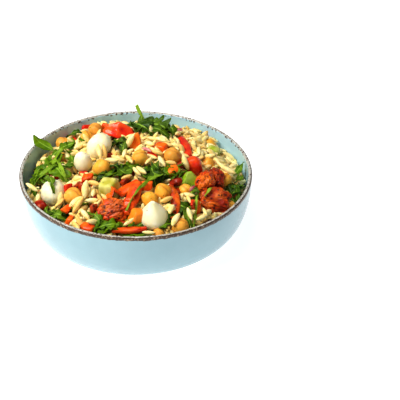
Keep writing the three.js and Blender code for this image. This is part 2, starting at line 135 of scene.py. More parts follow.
# inputs give a socket's kind, or the default of a number
def newGroup(name, inputs, outputs):
    group = bpy.data.node_groups.new(name, "ShaderNodeTree")
    for label, value in inputs.items():
        kind = value if isinstance(value, str) else "Float"
        socket = group.interface.new_socket(label, in_out="INPUT", socket_type="NodeSocket" + kind)
        if kind == "Float":
            socket.default_value = value
    for label, kind in outputs.items():
        group.interface.new_socket(label, in_out="OUTPUT", socket_type="NodeSocket" + kind)
    return group, group.nodes.new("NodeGroupInput").outputs, group.nodes.new("NodeGroupOutput").inputs


# adds a node with its values and links, {"Scale": 4.0, "Vector": someSocket}, and gives its outputs
def addNode(tree, kind, links=None, **settings):
    node = tree.nodes.new("ShaderNode" + kind)
    for key, value in settings.items():
        setattr(node, key, value)
    for label, value in (links or {}).items():
        if isinstance(value, bpy.types.NodeSocket):
            tree.links.new(value, node.inputs[label])
        else:
            node.inputs[label].default_value = value
    return node.outputs


def addMix(tree, factor, first, second):
    return addNode(tree, "Mix", {0: factor, 6: first, 7: second}, data_type="RGBA")[2]


def addMath(tree, operation, first, second=0.0):
    return addNode(tree, "Math", {0: first, 1: second}, operation=operation)[0]


def addRange(tree, value, low, high):
    links = {"Value": value, "From Min": low, "From Max": high, "To Min": 0.0, "To Max": 1.0}
    return addNode(tree, "MapRange", links, interpolation_type="SMOOTHSTEP")["Result"]


def addNoise(tree, spot, scale, detail, roughness=0.5):
    links = {"Vector": spot, "Scale": scale, "Detail": detail, "Roughness": roughness}
    return addNode(tree, "TexNoise", links)["Fac"]


def buildMottle():
    inputs = {"Vector": "Vector", "Scale": 120, "Light": "Color", "Dark": "Color", "Balance": 0.5,
              "Softness": 0.2}
    group, into, out = newGroup("mottle", inputs, {"Color": "Color"})
    low = addMath(group, "SUBTRACT", into["Balance"], into["Softness"])
    high = addMath(group, "ADD", into["Balance"], into["Softness"])
    mask = addRange(group, addNoise(group, into["Vector"], into["Scale"], 4, 0.6), low, high)
    group.links.new(addMix(group, mask, into["Light"], into["Dark"]), out["Color"])
    return group


def buildSpots():
    inputs = {"Vector": "Vector", "Scale": 400, "Size": 0.25, "Share": 0.5}
    group, into, out = newGroup("spots", inputs, {"Mask": "Float"})
    cells = addNode(group, "TexVoronoi", {"Vector": into["Vector"], "Scale": into["Scale"], "Randomness": 1})
    spot = addRange(group, cells["Distance"], into["Size"], addMath(group, "MULTIPLY", into["Size"], 0.6))
    chosen = addNode(group, "SeparateColor", {"Color": cells["Color"]})["Red"]
    keep = addMath(group, "LESS_THAN", chosen, into["Share"])
    group.links.new(addMath(group, "MULTIPLY", spot, keep), out["Mask"])
    return group


def buildSkinRelief():
    inputs = {"Vector": "Vector", "Coarse": 150, "Fine": 900, "Fine share": 0.4}
    group, into, out = newGroup("skinRelief", inputs, {"Height": "Float"})
    coarse = addNoise(group, into["Vector"], into["Coarse"], 2)
    fine = addMath(group, "MULTIPLY", addNoise(group, into["Vector"], into["Fine"], 3), into["Fine share"])
    group.links.new(addMath(group, "ADD", coarse, fine), out["Height"])
    return group


mottle = buildMottle()
spots = buildSpots()
skinRelief = buildSkinRelief()


def newMaterial(name, roughness, **plain):
    material = bpy.data.materials.new(name)
    material.use_nodes = True
    tree = material.node_tree
    shader = tree.nodes["Principled BSDF"]
    shader.inputs["Roughness"].default_value = roughness
    for label, value in plain.items():
        shader.inputs[label].default_value = value
    return material, tree, shader, addNode(tree, "TexCoord")["Object"]


def useGroup(tree, group, **links):
    named = {label.replace("_", " "): value for label, value in links.items()}
    return addNode(tree, "Group", named, node_tree=group)


def linear(color):
    return tuple(((v / 255 + 0.055) / 1.055) ** 2.4 if v > 10 else v / 255 / 12.92 for v in color) + (1.0,)


# clouds of a light and a dark colour
def useClouds(tree, spot, scale, colors, balance=0.5, softness=0.3):
    light, dark = (linear(color) for color in colors)
    return useGroup(tree, mottle, Vector=spot, Scale=scale, Light=light, Dark=dark, Balance=balance,
                    Softness=softness)["Color"]


def useBump(tree, shader, height, distance):
    bump = addNode(tree, "Bump", {"Height": height, "Distance": distance})
    tree.links.new(bump["Normal"], shader.inputs["Normal"])


def attribute(tree, name):
    return addNode(tree, "Attribute", attribute_name=name)["Fac"]


# how deep light goes in, and a wet coat
def moist(weight, radius=(1.0, 0.6, 0.35), scale=0.0015, coat=0.06):
    return {"Subsurface Weight": weight, "Subsurface Radius": radius, "Subsurface Scale": scale,
            "Coat Weight": coat, "Coat Roughness": 0.14, "Specular IOR Level": 0.2}


# food skins share one recipe: two clouds of colour, a tint for each piece, patches or spots of another colour
# and a fine relief; the higher a cloud's, spot's or relief's number, the finer it is, and its depth is in mm
foods = {
    "orzo": {"slot": "orzo", "roughness": 0.36, "cloud": 260, "colors": ((252, 238, 182), (246, 222, 138)),
        "tint": (232, 186, 94), "coarse": 500, "fine": 1800, "depth": 0.12, "moist": {"weight": 0.15}},
    "mozzarella": {"slot": "mozzarella", "roughness": 0.34, "cloud": 90,
        "colors": ((246, 240, 212), (238, 229, 184)), "coarse": 120, "fine": 700, "depth": 0.25,
        "moist": {"weight": 0.4, "radius": (1.0, 0.85, 0.6), "scale": 0.003}},
    # chickpea: its patch is painted shade along the groove over the top
    "chickpea": {"slot": "chickpea", "roughness": 0.36, "cloud": 130,
        "colors": ((244, 190, 78), (236, 167, 51)), "tint": (222, 158, 72), "patch": (206, 134, 52),
        "coarse": 260, "fine": 1200, "depth": 0.22, "moist": {"weight": 0.2}},
    "redPepper": {"slot": "red_pepper", "roughness": 0.2, "cloud": 110,
        "colors": ((230, 54, 26), (206, 34, 16)), "tint": (112, 16, 10), "patch": (238, 104, 36),
        "coarse": 140, "fine": 900, "depth": 0.25, "moist": {"weight": 0.1, "coat": 0.25}},
    "orangePepper": {"slot": "orange_pepper", "roughness": 0.26, "cloud": 110,
        "colors": ((242, 102, 18), (230, 74, 10)), "tint": (200, 48, 8), "patch": (250, 138, 38),
        "coarse": 160, "fine": 900, "depth": 0.25, "moist": {"weight": 0.12, "coat": 0.15}},
    "carrot": {"slot": "carrot", "roughness": 0.3, "cloud": 150, "colors": ((240, 124, 26), (228, 92, 12)),
        "tint": (236, 150, 44), "patch": (244, 150, 44), "coarse": 200, "fine": 1100, "depth": 0.3,
        "moist": {"weight": 0.15}},
    "courgette": {"slot": "courgette", "roughness": 0.26, "cloud": 140,
        "colors": ((202, 190, 84), (178, 164, 50)), "tint": (138, 174, 12), "patch": (226, 222, 146),
        "coarse": 180, "fine": 900, "depth": 0.2,
        "moist": {"weight": 0.3, "radius": (0.9, 1.0, 0.4), "scale": 0.003}},
    # roasted tomato: its patch is charring and painted shade in creases and hollows
    "roastedTomato": {"slot": "roasted_tomato", "roughness": 0.38, "cloud": 150,
        "colors": ((238, 124, 30), (216, 72, 12)), "softness": 0.12, "tint": (156, 38, 8),
        "patch": (80, 22, 6), "spot": (50, 16, 8), "spotScale": 380, "spotSize": 0.45, "spotShare": 0.36,
        "spotDepth": 0.85, "coarse": 300, "fine": 1000, "depth": 0.6,
        "moist": {"weight": 0.05, "coat": 0.16}},
    "redOnion": {"slot": "orzo", "roughness": 0.25, "cloud": 220, "colors": ((226, 158, 150), (186, 84, 96)),
        "tint": (150, 44, 74), "coarse": 300, "fine": 900, "depth": 0.1, "moist": {"weight": 0.25}},
    # the core's dark browns and olives are painted shade, seen in the gaps between the grains
    "saladCorePaintedShade": {"slot": "orzo", "roughness": 0.6, "cloud": 170, "colors": ((104, 68, 20), (34, 36, 10)),
        "tint": (190, 146, 76), "spot": (120, 34, 10), "spotScale": 150, "spotSize": 0.5, "spotShare": 0.3,
        "coarse": 160, "fine": 500, "depth": 1.2},
    "herbs": {"slot": "rocket", "roughness": 0.5, "cloud": 900, "colors": ((52, 60, 18), (22, 18, 8)),
        "coarse": 900, "fine": 2000, "depth": 0.1},
}


def foodMaterial(name, look):
    plain = moist(**look["moist"]) if "moist" in look else {}
    material, tree, shader, spot = newMaterial(name, look["roughness"], **plain)
    color = useClouds(tree, spot, look["cloud"], look["colors"], softness=look.get("softness", 0.18))
    if "tint" in look:
        color = addMix(tree, attribute(tree, "tint"), color, linear(look["tint"]))
    if "spot" in look:
        dots = useGroup(tree, spots, Vector=spot, Scale=look["spotScale"], Size=look["spotSize"],
                        Share=look["spotShare"])
        depth = addMath(tree, "MULTIPLY", dots["Mask"], look.get("spotDepth", 1.0))
        color = addMix(tree, depth, color, linear(look["spot"]))
    if "patch" in look:
        color = addMix(tree, attribute(tree, "patch"), color, linear(look["patch"]))
    tree.links.new(color, shader.inputs["Base Color"])
    relief = useGroup(tree, skinRelief, Vector=spot, Coarse=look["coarse"], Fine=look["fine"], Fine_share=0.4)
    useBump(tree, shader, relief["Height"], look["depth"] * mm)
    return material


# rocket: pale midrib and side veins drawn on the leaf's own map; its tint darkens a leaf towards the dark
# green as painted shade, its patch pales it
rocketLook = {"roughness": 0.42, "cloud": 110, "colors": ((128, 160, 8), (66, 106, 4)), "dark": (24, 52, 2),
              "vein": (124, 166, 36), "veins": 44.0, "slant": 30.0, "veinWidth": (0.86, 1.0),
              "veinShow": 0.45, "rib": (156, 190, 68), "ribWidth": (0.075, 0.02), "ribShow": 0.85,
              "pale": (160, 192, 56), "depth": 0.25}


def rocketMaterial():
    look = rocketLook
    material, tree, shader, spot = newMaterial("rocket", look["roughness"], **moist(0.0, coat=0.03))
    place = addNode(tree, "SeparateXYZ", {0: addNode(tree, "UVMap", uv_map="leaf")["UV"]})
    side = addMath(tree, "ABSOLUTE", addMath(tree, "SUBTRACT", place["Y"], 0.5))
    rib = addRange(tree, side, *look["ribWidth"])
    slant = addMath(tree, "SUBTRACT", addMath(tree, "MULTIPLY", place["X"], look["veins"]),
                    addMath(tree, "MULTIPLY", side, look["slant"]))
    wave = addMath(tree, "SINE", slant)
    vein = addMath(tree, "MULTIPLY", addRange(tree, wave, *look["veinWidth"]), look["veinShow"])
    blade = useClouds(tree, spot, look["cloud"], look["colors"], softness=0.22)
    # painted shade: the leaf's tint mixes in the dark green
    withPaintedShade = addMix(tree, attribute(tree, "tint"), blade, linear(look["dark"]))
    veined = addMix(tree, vein, withPaintedShade, linear(look["vein"]))
    ribbed = addMix(tree, addMath(tree, "MULTIPLY", rib, look["ribShow"]), veined, linear(look["rib"]))
    paled = addMix(tree, attribute(tree, "patch"), ribbed, linear(look["pale"]))
    tree.links.new(paled, shader.inputs["Base Color"])
    relief = addMath(tree, "ADD", addMath(tree, "MULTIPLY", wave, 0.25), addMath(tree, "MULTIPLY", rib, -0.8))
    useBump(tree, shader, relief, look["depth"] * mm)
    return material


# glaze: pale aqua, with a ragged speckled band of brown clay under the rim's edge and cream inside it; its
# reaches are measured down from the rim, in mm
glazeLook = {"outside": ((160, 192, 201), (150, 183, 192)), "inside": ((190, 226, 243), (180, 218, 236)),
             "clay": ((76, 56, 42), (166, 144, 116)), "cream": ((190, 188, 178), (130, 112, 98)),
             "fleck": (88, 70, 60), "cloud": 28, "clayGrain": (640, 0.585, 0.07),
             "creamGrain": (380, 0.63, 0.06), "ragged": 1.8, "band": (3.0, 2.6), "flecks": (3.0, 1.4),
             "lip": (1.1, 0.6), "edge": (89.0, 89.3), "roughness": 0.18, "dullRim": 0.25, "depth": 0.3,
             "coat": {"Coat Weight": 0.3, "Coat Roughness": 0.06}}


def glazeMaterial():
    look = glazeLook
    material, tree, shader, spot = newMaterial("glaze", look["roughness"], **look["coat"])
    place = addNode(tree, "SeparateXYZ", {0: spot})
    flat = addNode(tree, "CombineXYZ", {0: place["X"], 1: place["Y"]})
    across = addNode(tree, "VectorMath", {0: flat[0]}, operation="LENGTH")["Value"]
    ragged = addNoise(tree, spot, 420, 3)
    shift = addMath(tree, "MULTIPLY", addMath(tree, "SUBTRACT", ragged, 0.5), look["ragged"] * mm)
    height = addMath(tree, "ADD", place["Z"], shift)
    radius = addMath(tree, "ADD", across, addMath(tree, "MULTIPLY", shift, 0.6))
    outside = addRange(tree, radius, look["edge"][0] * mm, look["edge"][1] * mm)
    inner = addMath(tree, "SUBTRACT", 1.0, outside)

    def reach(name, side):
        low, high = ((bowl["height"] - depth) * mm for depth in look[name])
        return addMath(tree, "MULTIPLY", addRange(tree, height, low, high), side)

    band, lip = reach("band", outside), reach("lip", inner)
    faces = (useClouds(tree, spot, look["cloud"], look[name]) for name in ("outside", "inside"))
    color = addMix(tree, attribute(tree, "inside"), *faces)
    for mask, name in ((band, "clay"), (lip, "cream")):
        scale, balance, softness = look[name + "Grain"]
        color = addMix(tree, mask, color, useClouds(tree, spot, scale, look[name], balance, softness))
    dots = useGroup(tree, spots, Vector=spot, Scale=480, Size=0.45, Share=0.8)
    flecked = addMath(tree, "MULTIPLY", dots["Mask"], reach("flecks", inner))
    tree.links.new(addMix(tree, flecked, color, linear(look["fleck"])), shader.inputs["Base Color"])
    dull = addMath(tree, "MULTIPLY", addMath(tree, "MAXIMUM", band, lip), look["dullRim"])
    tree.links.new(addMath(tree, "ADD", dull, look["roughness"]), shader.inputs["Roughness"])
    relief = useGroup(tree, skinRelief, Vector=spot, Coarse=35, Fine=600, Fine_share=0.08)
    useBump(tree, shader, relief["Height"], look["depth"] * mm)
    return material


# each skin with the slot of the pieces that it is on
skins = {name: (foodMaterial(name, look), look["slot"]) for name, look in foods.items()}
skins["rocket"] = (rocketMaterial(), "rocket")
skins["glaze"] = (glazeMaterial(), "glaze")
print("materials are built")


def makeObject(bm, name, material):
    mesh = bpy.data.meshes.new(name)
    bm.to_mesh(mesh)
    bm.free()
    mesh.materials.append(material)
    made = bpy.data.objects.new(name, mesh)
    scene.collection.objects.link(made)
    return made


# pieces are drawn in mm; this scales one down, rides it on the bowl and hides the nodes it stands for
def makePiece(bm, name, skin, nodes, slot=None):
    material, ownSlot = skins[skin]
    slot = slot or ownSlot
    bmesh.ops.scale(bm, vec=(mm, mm, mm), verts=bm.verts)
    piece = makeObject(bm, name, material)
    piece.data.shade_smooth()
    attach(piece, "root")
    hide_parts(*nodes)


def camel(node):
    first, *rest = node.split("_")
    return first + "".join(word.capitalize() for word in rest)


def boxOf(bm):
    points = np.array([vert.co for vert in bm.verts])
    return points.min(axis=0), points.max(axis=0)


# a solid's box in mm, to a hundredth
def solidBox(node):
    return [np.round(np.array(corner) / mm, 2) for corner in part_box(node)]


# turns a shape as its solid is turned, and sets it where the solid is: level with its top, over its middle
def settle(bm, node, turn, lean, roll):
    spin = Euler((math.radians(roll), math.radians(lean), math.radians(turn))).to_matrix()
    bmesh.ops.rotate(bm, cent=(0, 0, 0), matrix=spin, verts=bm.verts)
    low, high = solidBox(node)
    ownLow, ownHigh = boxOf(bm)
    shift = (low + high) / 2 - (ownLow + ownHigh) / 2
    shift[2] = high[2] - ownHigh[2]
    bmesh.ops.translate(bm, vec=Vector(shift), verts=bm.verts)


obstacles = []      # points and faces, in mm, of what grains have to stay clear of


# operators may list faces in another order each time; sorted, all grains fall the same way in every run
def remember(bm):
    bm.verts.index_update()
    faces = [[vert.index for vert in face.verts] for face in bm.faces]
    starts = [face.index(min(face)) for face in faces]
    faces = sorted(face[start:] + face[:start] for face, start in zip(faces, starts))
    obstacles.append(([vert.co.copy() for vert in bm.verts], faces))


def placePiece(bm, node, skin, turn=0.0, lean=0.0, roll=0.0, slot=None):
    settle(bm, node, turn, lean, roll)
    remember(bm)
    makePiece(bm, camel(node), skin, [node], slot)


def obstacleTree():
    points, faces = [], []
    for ownPoints, ownFaces in obstacles:
        start = len(points)
        points.extend(ownPoints)
        faces.extend([start + i for i in face] for face in ownFaces)
    return BVHTree.FromPolygons(points, faces)


def clamp(value):
    return max(0.0, min(1.0, value))


def setLayer(bm, name, value):
    layer = bm.verts.layers.float.get(name) or bm.verts.layers.float.new(name)
    for vert in bm.verts:
        vert[layer] = value(vert) if callable(value) else value


# bowl: half a section, spun round
def makeBowl():
    steps = 22
    lipSteps = 12
    lipRadius = bowl["wall"] / 2
    foot, width = bowl["footRadius"], bowl["footWidth"]
    profile = [(0, bowl["footHeight"]), (foot - width - 1, bowl["footHeight"]), (foot - width, 0.9),
               (foot - width + 0.5, 0.15), (foot - width + 1.0, 0), (foot - 1.0, 0), (foot - 0.4, 0.15),
               (foot, 0.9), (foot + 0.7, 1.15)]
    start, end = bowl["wallTurns"]
    for i in range(steps + 1):
        turn = math.radians(start + (end - start) * i / steps)
        reach = math.sin(turn) ** (2 / bowl["squareness"])
        radius = bowl["wallStart"] + (bowl["rimRadius"] - bowl["wallStart"]) * reach
        profile.append((radius, bowl["height"] - bowl["height"] * math.cos(turn) ** (2 / bowl["roundness"])))
    for i in range(lipSteps + 1):
        turn = math.pi * i / lipSteps
        middle = (bowl["rimRadius"] - lipRadius, bowl["height"] - lipRadius)
        profile.append((middle[0] + lipRadius * math.cos(turn), middle[1] + lipRadius * math.sin(turn)))
    for i in range(steps):
        share = 0.9 * (1 - i / steps) ** 1.6
        height = floorHeight + (bowl["height"] - floorHeight) * share
        profile.append((innerRadius(height), height))
    profile += [(bowl["wallStart"] + 4, floorHeight), (0, floorHeight)]
    bm = bmesh.new()
    verts = [bm.verts.new((radius, 0, height)) for radius, height in profile]
    edges = [bm.edges.new(pair) for pair in zip(verts, verts[1:])]
    bmesh.ops.spin(bm, geom=verts + edges, cent=(0, 0, 0), axis=(0, 0, 1), angle=math.tau,
                   steps=bowl["around"], use_merge=True)
    bmesh.ops.remove_doubles(bm, verts=bm.verts, dist=0.001)
    bmesh.ops.recalc_face_normals(bm, faces=bm.faces)
    setLayer(bm, "inside", lambda vert: float(
        vert.co.z > bowl["wall"] and vert.co.xy.length < innerRadius(vert.co.z) + 1.2))
    makePiece(bm, "bowl", "glaze", ["bowl"])


makeBowl()
print("bowl is turned")


# mozzarella pearls
pearlSwell = {"broad": 0.05, "fine": 0.015}
pearls = {
    "mozzarella_back": {"wide": 17, "tall": 23, "taper": -0.1, "flat": 0.0, "lean": 48, "turn": 38,
        "seed": 3.1, "waist": 0.1},
    "mozzarella_left": {"wide": 14, "tall": 18, "taper": 0.08, "flat": 0.0, "lean": -12, "turn": 60,
        "seed": 5.7},
    "mozzarella_rim": {"wide": 19, "tall": 19, "taper": 0.0, "flat": 0.0, "lean": 10, "turn": 20,
        "seed": 8.2},
    "mozzarella_front": {"wide": 21.5, "tall": 23, "taper": 0.55, "flat": 0.1, "lean": -8, "turn": 70,
        "seed": 1.4},
}


def makePearl(node, look):
    bm = bmesh.new()
    bmesh.ops.create_icosphere(bm, subdivisions=5, radius=1)
    for vert in bm.verts:
        point = vert.co.copy()
        height = min(point.z, 1 - look["flat"] + 0.15 * (point.z - 1 + look["flat"]))
        width = look["wide"] / 2 * (1 - look["taper"] * (height + 0.3))
        width *= 1 - look.get("waist", 0) * math.exp(-((point.z + 0.15) / 0.35) ** 2) * max(0, point.x)
        swell = 1 + pearlSwell["broad"] * lumps(point, 1.3, look["seed"])
        swell += pearlSwell["fine"] * lumps(point, 4, look["seed"])
        vert.co = Vector((point.x * width, point.y * width, height * look["tall"] / 2)) * swell
    placePiece(bm, node, "mozzarella", look["turn"], look["lean"])


for node, look in pearls.items():
    makePearl(node, look)
print("mozzarella is in")


# roasted tomato: puffed, creased skin, darker in its creases and in the hollow of its cut side with charring
# and painted shade, or the cut side with its pulp
tomatoForm = {"pulp": 0.16, "puff": 0.3, "wrinkle": 0.16, "streak": 0.48}
tomatoes = {
    "roasted_tomato_skin": {"long": 19, "wide": 14.5, "tall": 16, "folds": 0.07, "lobes": 3, "dish": 0.0,
        "turn": 70, "lean": 10, "char": 0.6, "seed": 2.3, "tint": 0.0},
    "roasted_tomato_fold": {"long": 20, "wide": 13, "tall": 14, "folds": 0.12, "lobes": 4, "dish": 0.0,
        "turn": 100, "char": 0.8, "seed": 6.6, "tint": 0.6},
    "roasted_tomato_cut": {"long": 25, "wide": 20, "tall": 15, "folds": 0.1, "lobes": 5, "dish": 0.6,
        "turn": 15, "roll": 20, "char": 0.7, "seed": 9.1, "tint": 0.4},
    "roasted_tomato_wedge": {"long": 25, "wide": 17, "tall": 13, "folds": 0.08, "lobes": 4, "dish": 0.2,
        "turn": 12, "lean": -12, "roll": 30, "char": 1.0, "seed": 4.8, "tint": 0.0, "streak": 0.9},
}


def makeTomato(node, look):
    bm = bmesh.new()
    bmesh.ops.create_icosphere(bm, subdivisions=6, radius=1)
    bm.verts.index_update()
    creases = {}
    for vert in bm.verts:
        x, y, z = vert.co
        around, out = math.atan2(y, x), math.hypot(x, y)
        folds = 1 + look["folds"] * out * math.sin(look["lobes"] * around + 3 * z)
        pulp = tomatoForm["pulp"] * math.sin(5 * x + 1) * math.cos(5 * y)
        dish = 1 - look["dish"] * math.exp(-((out / 0.62) ** 2)) + look["dish"] * pulp if z > 0 else 1
        streak = look.get("streak", tomatoForm["streak"])
        wide = abs(lumps((x * streak, y * 1.3, z * 0.9), 1.7, look["seed"]))
        fine = abs(lumps((x * streak, y * 1.2, z), 4.4, look["seed"]))
        puff = 0.9 + tomatoForm["puff"] * min(0.5, wide) + tomatoForm["wrinkle"] * min(0.4, fine)
        vert.co = Vector((x * look["long"], y * look["wide"], z * look["tall"] * dish)) * 0.5 * puff
        vert.co.x *= folds
        vert.co.y *= folds
        # darker in creases and the dished hollow: charring and painted shade
        creases[vert.index] = max(0.0, 1 - wide / 0.09) + 0.8 * max(0.0, 1 - fine / 0.07)
        creases[vert.index] += 0.9 * max(0.0, 1 - dish) * (z > 0.2)
    for vert in bm.verts:
        creases[vert.index] += 2.5 * max(0.0, lumps(vert.co, 0.2, look["seed"]) - 0.4)
    setLayer(bm, "patch", lambda vert: clamp(creases[vert.index]) * look["char"])
    setLayer(bm, "tint", lambda vert: clamp(look["tint"] + 1.2 * lumps(vert.co, 0.12, look["seed"] + 3)))
    placePiece(bm, node, "roastedTomato", look["turn"], look.get("lean", 0), look.get("roll", 0))


for node, look in tomatoes.items():
    makeTomato(node, look)
print("roasted tomato is in")


# chickpeas: round, with a groove over the top, a beak and a thin skin that wrinkles a little
pea = {"count": 17, "groove": 0.13, "grooveWidth": 0.16, "beak": 0.2, "swell": 0.05, "wrinkle": 0.012,
       "seam": 0.8, "grooveShadeWidth": 0.12, "turns": ((0, 360), (-70, 70), (-60, 60)), "darkest": 0.7}
peaDraw = random.Random(11)


def makePea(node):
    low, high = solidBox(node)
    width = (high - low)[:2].mean()
    seed = peaDraw.uniform(0, 40)
    bm = bmesh.new()
    bmesh.ops.create_icosphere(bm, subdivisions=4, radius=1)
    for vert in bm.verts:
        point = vert.co.copy()
        groove = pea["groove"] * math.exp(-((point.y / pea["grooveWidth"]) ** 2)) * max(0.0, point.z) ** 0.5
        beak = pea["beak"] * max(0.0, point.x) ** 7
        swell = 1 + pea["swell"] * lumps(point, 1.6, seed) + pea["wrinkle"] * lumps(point, 6, seed)
        vert.co = point * width / 2 * (1 - groove + beak) * swell
    # painted shade: darker along the groove over the top
    setLayer(bm, "patch", lambda vert: pea["seam"] * (vert.co.z > 0) * math.exp(
        -((vert.co.y / width * 2 / pea["grooveShadeWidth"]) ** 2)))
    setLayer(bm, "tint", peaDraw.uniform(0.0, pea["darkest"]))
    placePiece(bm, node, "chickpea", *(peaDraw.uniform(*span) for span in pea["turns"]))


for i in range(pea["count"]):
    makePea(f"chickpea_{i + 1:02d}")
print("chickpeas are in")


# cut chunks: blocks with rounded corners, some tapered or pointed, and a little uneven
chunkSwell = {"broad": 0.07, "fine": 0.02}
chunks = {
    "pepper_red_wedge": {"size": (24, 9, 14), "square": 7, "taper": 0.15, "turn": -8, "roll": -30,
        "point": 0.55, "faded": 5.0, "fadeAt": -6, "skin": "redPepper", "tint": 0.0},
    # pepper_orange_point's raised cloudy patches are painted light, lightening a piece that faces away from
    # the window
    "pepper_orange_point": {"size": (9, 6, 17), "square": 6, "taper": 0.7, "lean": 10, "cloudy": 1.3,
        "skin": "orangePepper", "tint": 0.0},
    "pepper_red_round": {"size": (12, 11, 15), "square": 2.6, "lean": -14, "skin": "redPepper", "tint": 0.0},
    "carrot_front": {"size": (9.5, 10, 12), "square": 4, "faded": 3.5, "taper": 0.15, "turn": 25, "lean": 14,
        "skin": "carrot", "tint": 0.6},
    "carrot_middle": {"size": (11, 9, 9), "square": 4, "turn": 30, "skin": "carrot", "tint": 0.0},
    "carrot_back": {"size": (9.5, 8, 8.5), "square": 5, "turn": -20, "skin": "orangePepper", "slot": "carrot",
        "tint": 0.0},
    "pepper_dark_left": {"size": (9, 10, 10), "square": 3, "turn": 35, "skin": "redPepper", "tint": 0.8},
    "pepper_right": {"size": (7, 9, 10), "square": 3, "turn": 10, "skin": "orangePepper", "tint": 0.5},
    "courgette_chunk": {"size": (13.5, 12.5, 16), "square": 5, "taper": 0.05, "turn": -24, "lean": -10,
        "roll": 12, "skin": "courgette", "tint": 0.1},
    "courgette_green": {"size": (11, 8, 11), "square": 8, "taper": 0.7, "turn": 20, "cloudy": 0.2,
        "skin": "courgette", "tint": 0.95},
    "courgette_back": {"size": (11, 9, 8), "square": 3, "turn": -20, "skin": "courgette", "tint": 0.6},
}


def makeChunk(node, look):
    bm = bmesh.new()
    bmesh.ops.create_cube(bm, size=2)
    bmesh.ops.subdivide_edges(bm, edges=bm.edges[:], cuts=15, use_grid_fill=True)
    square, taper = look["square"], look.get("taper", 0)
    seed = sum(look["size"]) * 0.7
    halves = [side / 2 for side in look["size"]]
    for vert in bm.verts:
        x, y, z = vert.co
        total = (abs(x) ** square + abs(y) ** square + abs(z) ** square) ** (1 / square)
        x, y, z = x / total, y / total, z / total
        narrow, pointed = 1 - taper * z, 1 - look.get("point", 0) * abs(x)
        swell = 1 + chunkSwell["broad"] * lumps((x, y, z), 1.4, seed)
        swell += chunkSwell["fine"] * lumps((x, y, z), 5, seed)
        corner = (x * halves[0] * narrow, y * halves[1] * narrow * pointed, z * halves[2] * pointed)
        vert.co = Vector(corner) * swell
    setLayer(bm, "tint", look["tint"])
    faded, fadeAt, cloudy = look.get("faded", 0), look.get("fadeAt", 0), look.get("cloudy", 0.6)
    setLayer(bm, "patch", lambda vert: clamp(0.5 + 1.6 * lumps(vert.co, 0.18, seed)) * cloudy
             + faded / 10 / (1 + math.exp(3 * (vert.co.x - fadeAt))))
    turns = (look.get(name, 0) for name in ("turn", "lean", "roll"))
    placePiece(bm, node, look["skin"], *turns, look.get("slot"))


for node, look in chunks.items():
    makeChunk(node, look)
print("chunks are in")


# strips and leaves lie along the heap from one place to another, lift above what is under their middle line
pieceTree = obstacleTree()


# what lies under a place, seen from high above it
def lookDown(tree, x, y):
    return tree.ray_cast(Vector((x, y, 120)), Vector((0, 0, -1)))


def ground(x, y):
    height = saladTop(x, y) - heap["cover"] + 0.35
    hit = lookDown(pieceTree, x, y)[0]
    return max(height, hit.z + 0.35) if hit else height


def smoothGround(x, y):
    return sum(ground(x + dx, y + dy) for dx, dy in ((0, 0), (1.5, 0), (-1.5, 0), (0, 1.5), (0, -1.5))) / 5


def layAlong(bm, shape, halfWidth):
    start, end = (Vector((*ends, 0)) for ends in (shape["path"][:2], shape["path"][2:]))
    side = (end - start).cross(Vector((0, 0, 1))).normalized()
    first, middle, last = shape["lift"]
    level = {}
    for vert in bm.verts:
        s, t = (vert.co.x + 1) / 2, vert.co.y
        spine = start.lerp(end, s) + side * shape.get("bow", 0) * 4 * s * (1 - s)
        if round(s, 4) not in level:
            low = saladTop(spine.x, spine.y) - heap["cover"]
            base = low if shape.get("among") else smoothGround(spine.x, spine.y)
            if shape.get("overRim"):
                base = max(base, saladTop(spine.x, spine.y))
            level[round(s, 4)] = base
        lift = first * (1 - s) * (1 - 2 * s) + middle * 4 * s * (1 - s) + last * s * (2 * s - 1)
        width = halfWidth(s, t)
        point = spine + side * t * width
        point += (end - start).normalized() * shape.get("sweep", 0) * abs(t) * width
        ruffle = shape.get("wave", 0) * t * math.sin(9 * s + shape.get("phase", 0))
        ruffle += shape.get("frill", 0) * t * t * math.sin(26 * s + 3 * t + shape.get("phase", 0))
        point.z = level[round(s, 4)] + lift + shape.get("cup", 0) * t * t * width + ruffle
        vert.co = point


strips = {
    "pepper_strip_back": {"path": (33, 40, 40.5, 8), "wide": 8.5, "lift": (2, 2.5, 2), "skin": "redPepper",
        "tint": 0.05},
    "pepper_fold_across": {"path": (-18, -52, 4, -36.5), "wide": 8.5, "bow": 1.5, "lift": (4.5, 7, 8),
        "skin": "orangePepper", "tint": 0.15},
    # pepper_fold_down's high tint darkens it as painted shade, where it lies in shade
    "pepper_fold_down": {"path": (4.5, -40, -2, -67), "wide": 10, "lift": (7.5, 6, 2.5),
        "skin": "orangePepper", "tint": 0.7},
    "pepper_strip_front": {"path": (-12, -79, 13, -78), "wide": 5.5, "bow": 1.5, "lift": (2.2, 3.8, 3.4),
        "skin": "orangePepper", "slot": "red_pepper", "tint": 0.9},
    "pepper_front_left": {"path": (-34, -72, -25, -77), "wide": 9, "lift": (2, 2.6, 2),
        "skin": "orangePepper", "tint": 0.3},
    "dried_tomato_strip": {"path": (27.5, -34, 31, -68), "wide": 7, "bow": -3, "lift": (2, 3.5, 2),
        "skin": "roastedTomato", "tint": 0.15},
}
stripShape = {"cup": -0.25, "wave": 0.2, "thick": 2.6, "edge": 0.7, "uneven": 0.35}


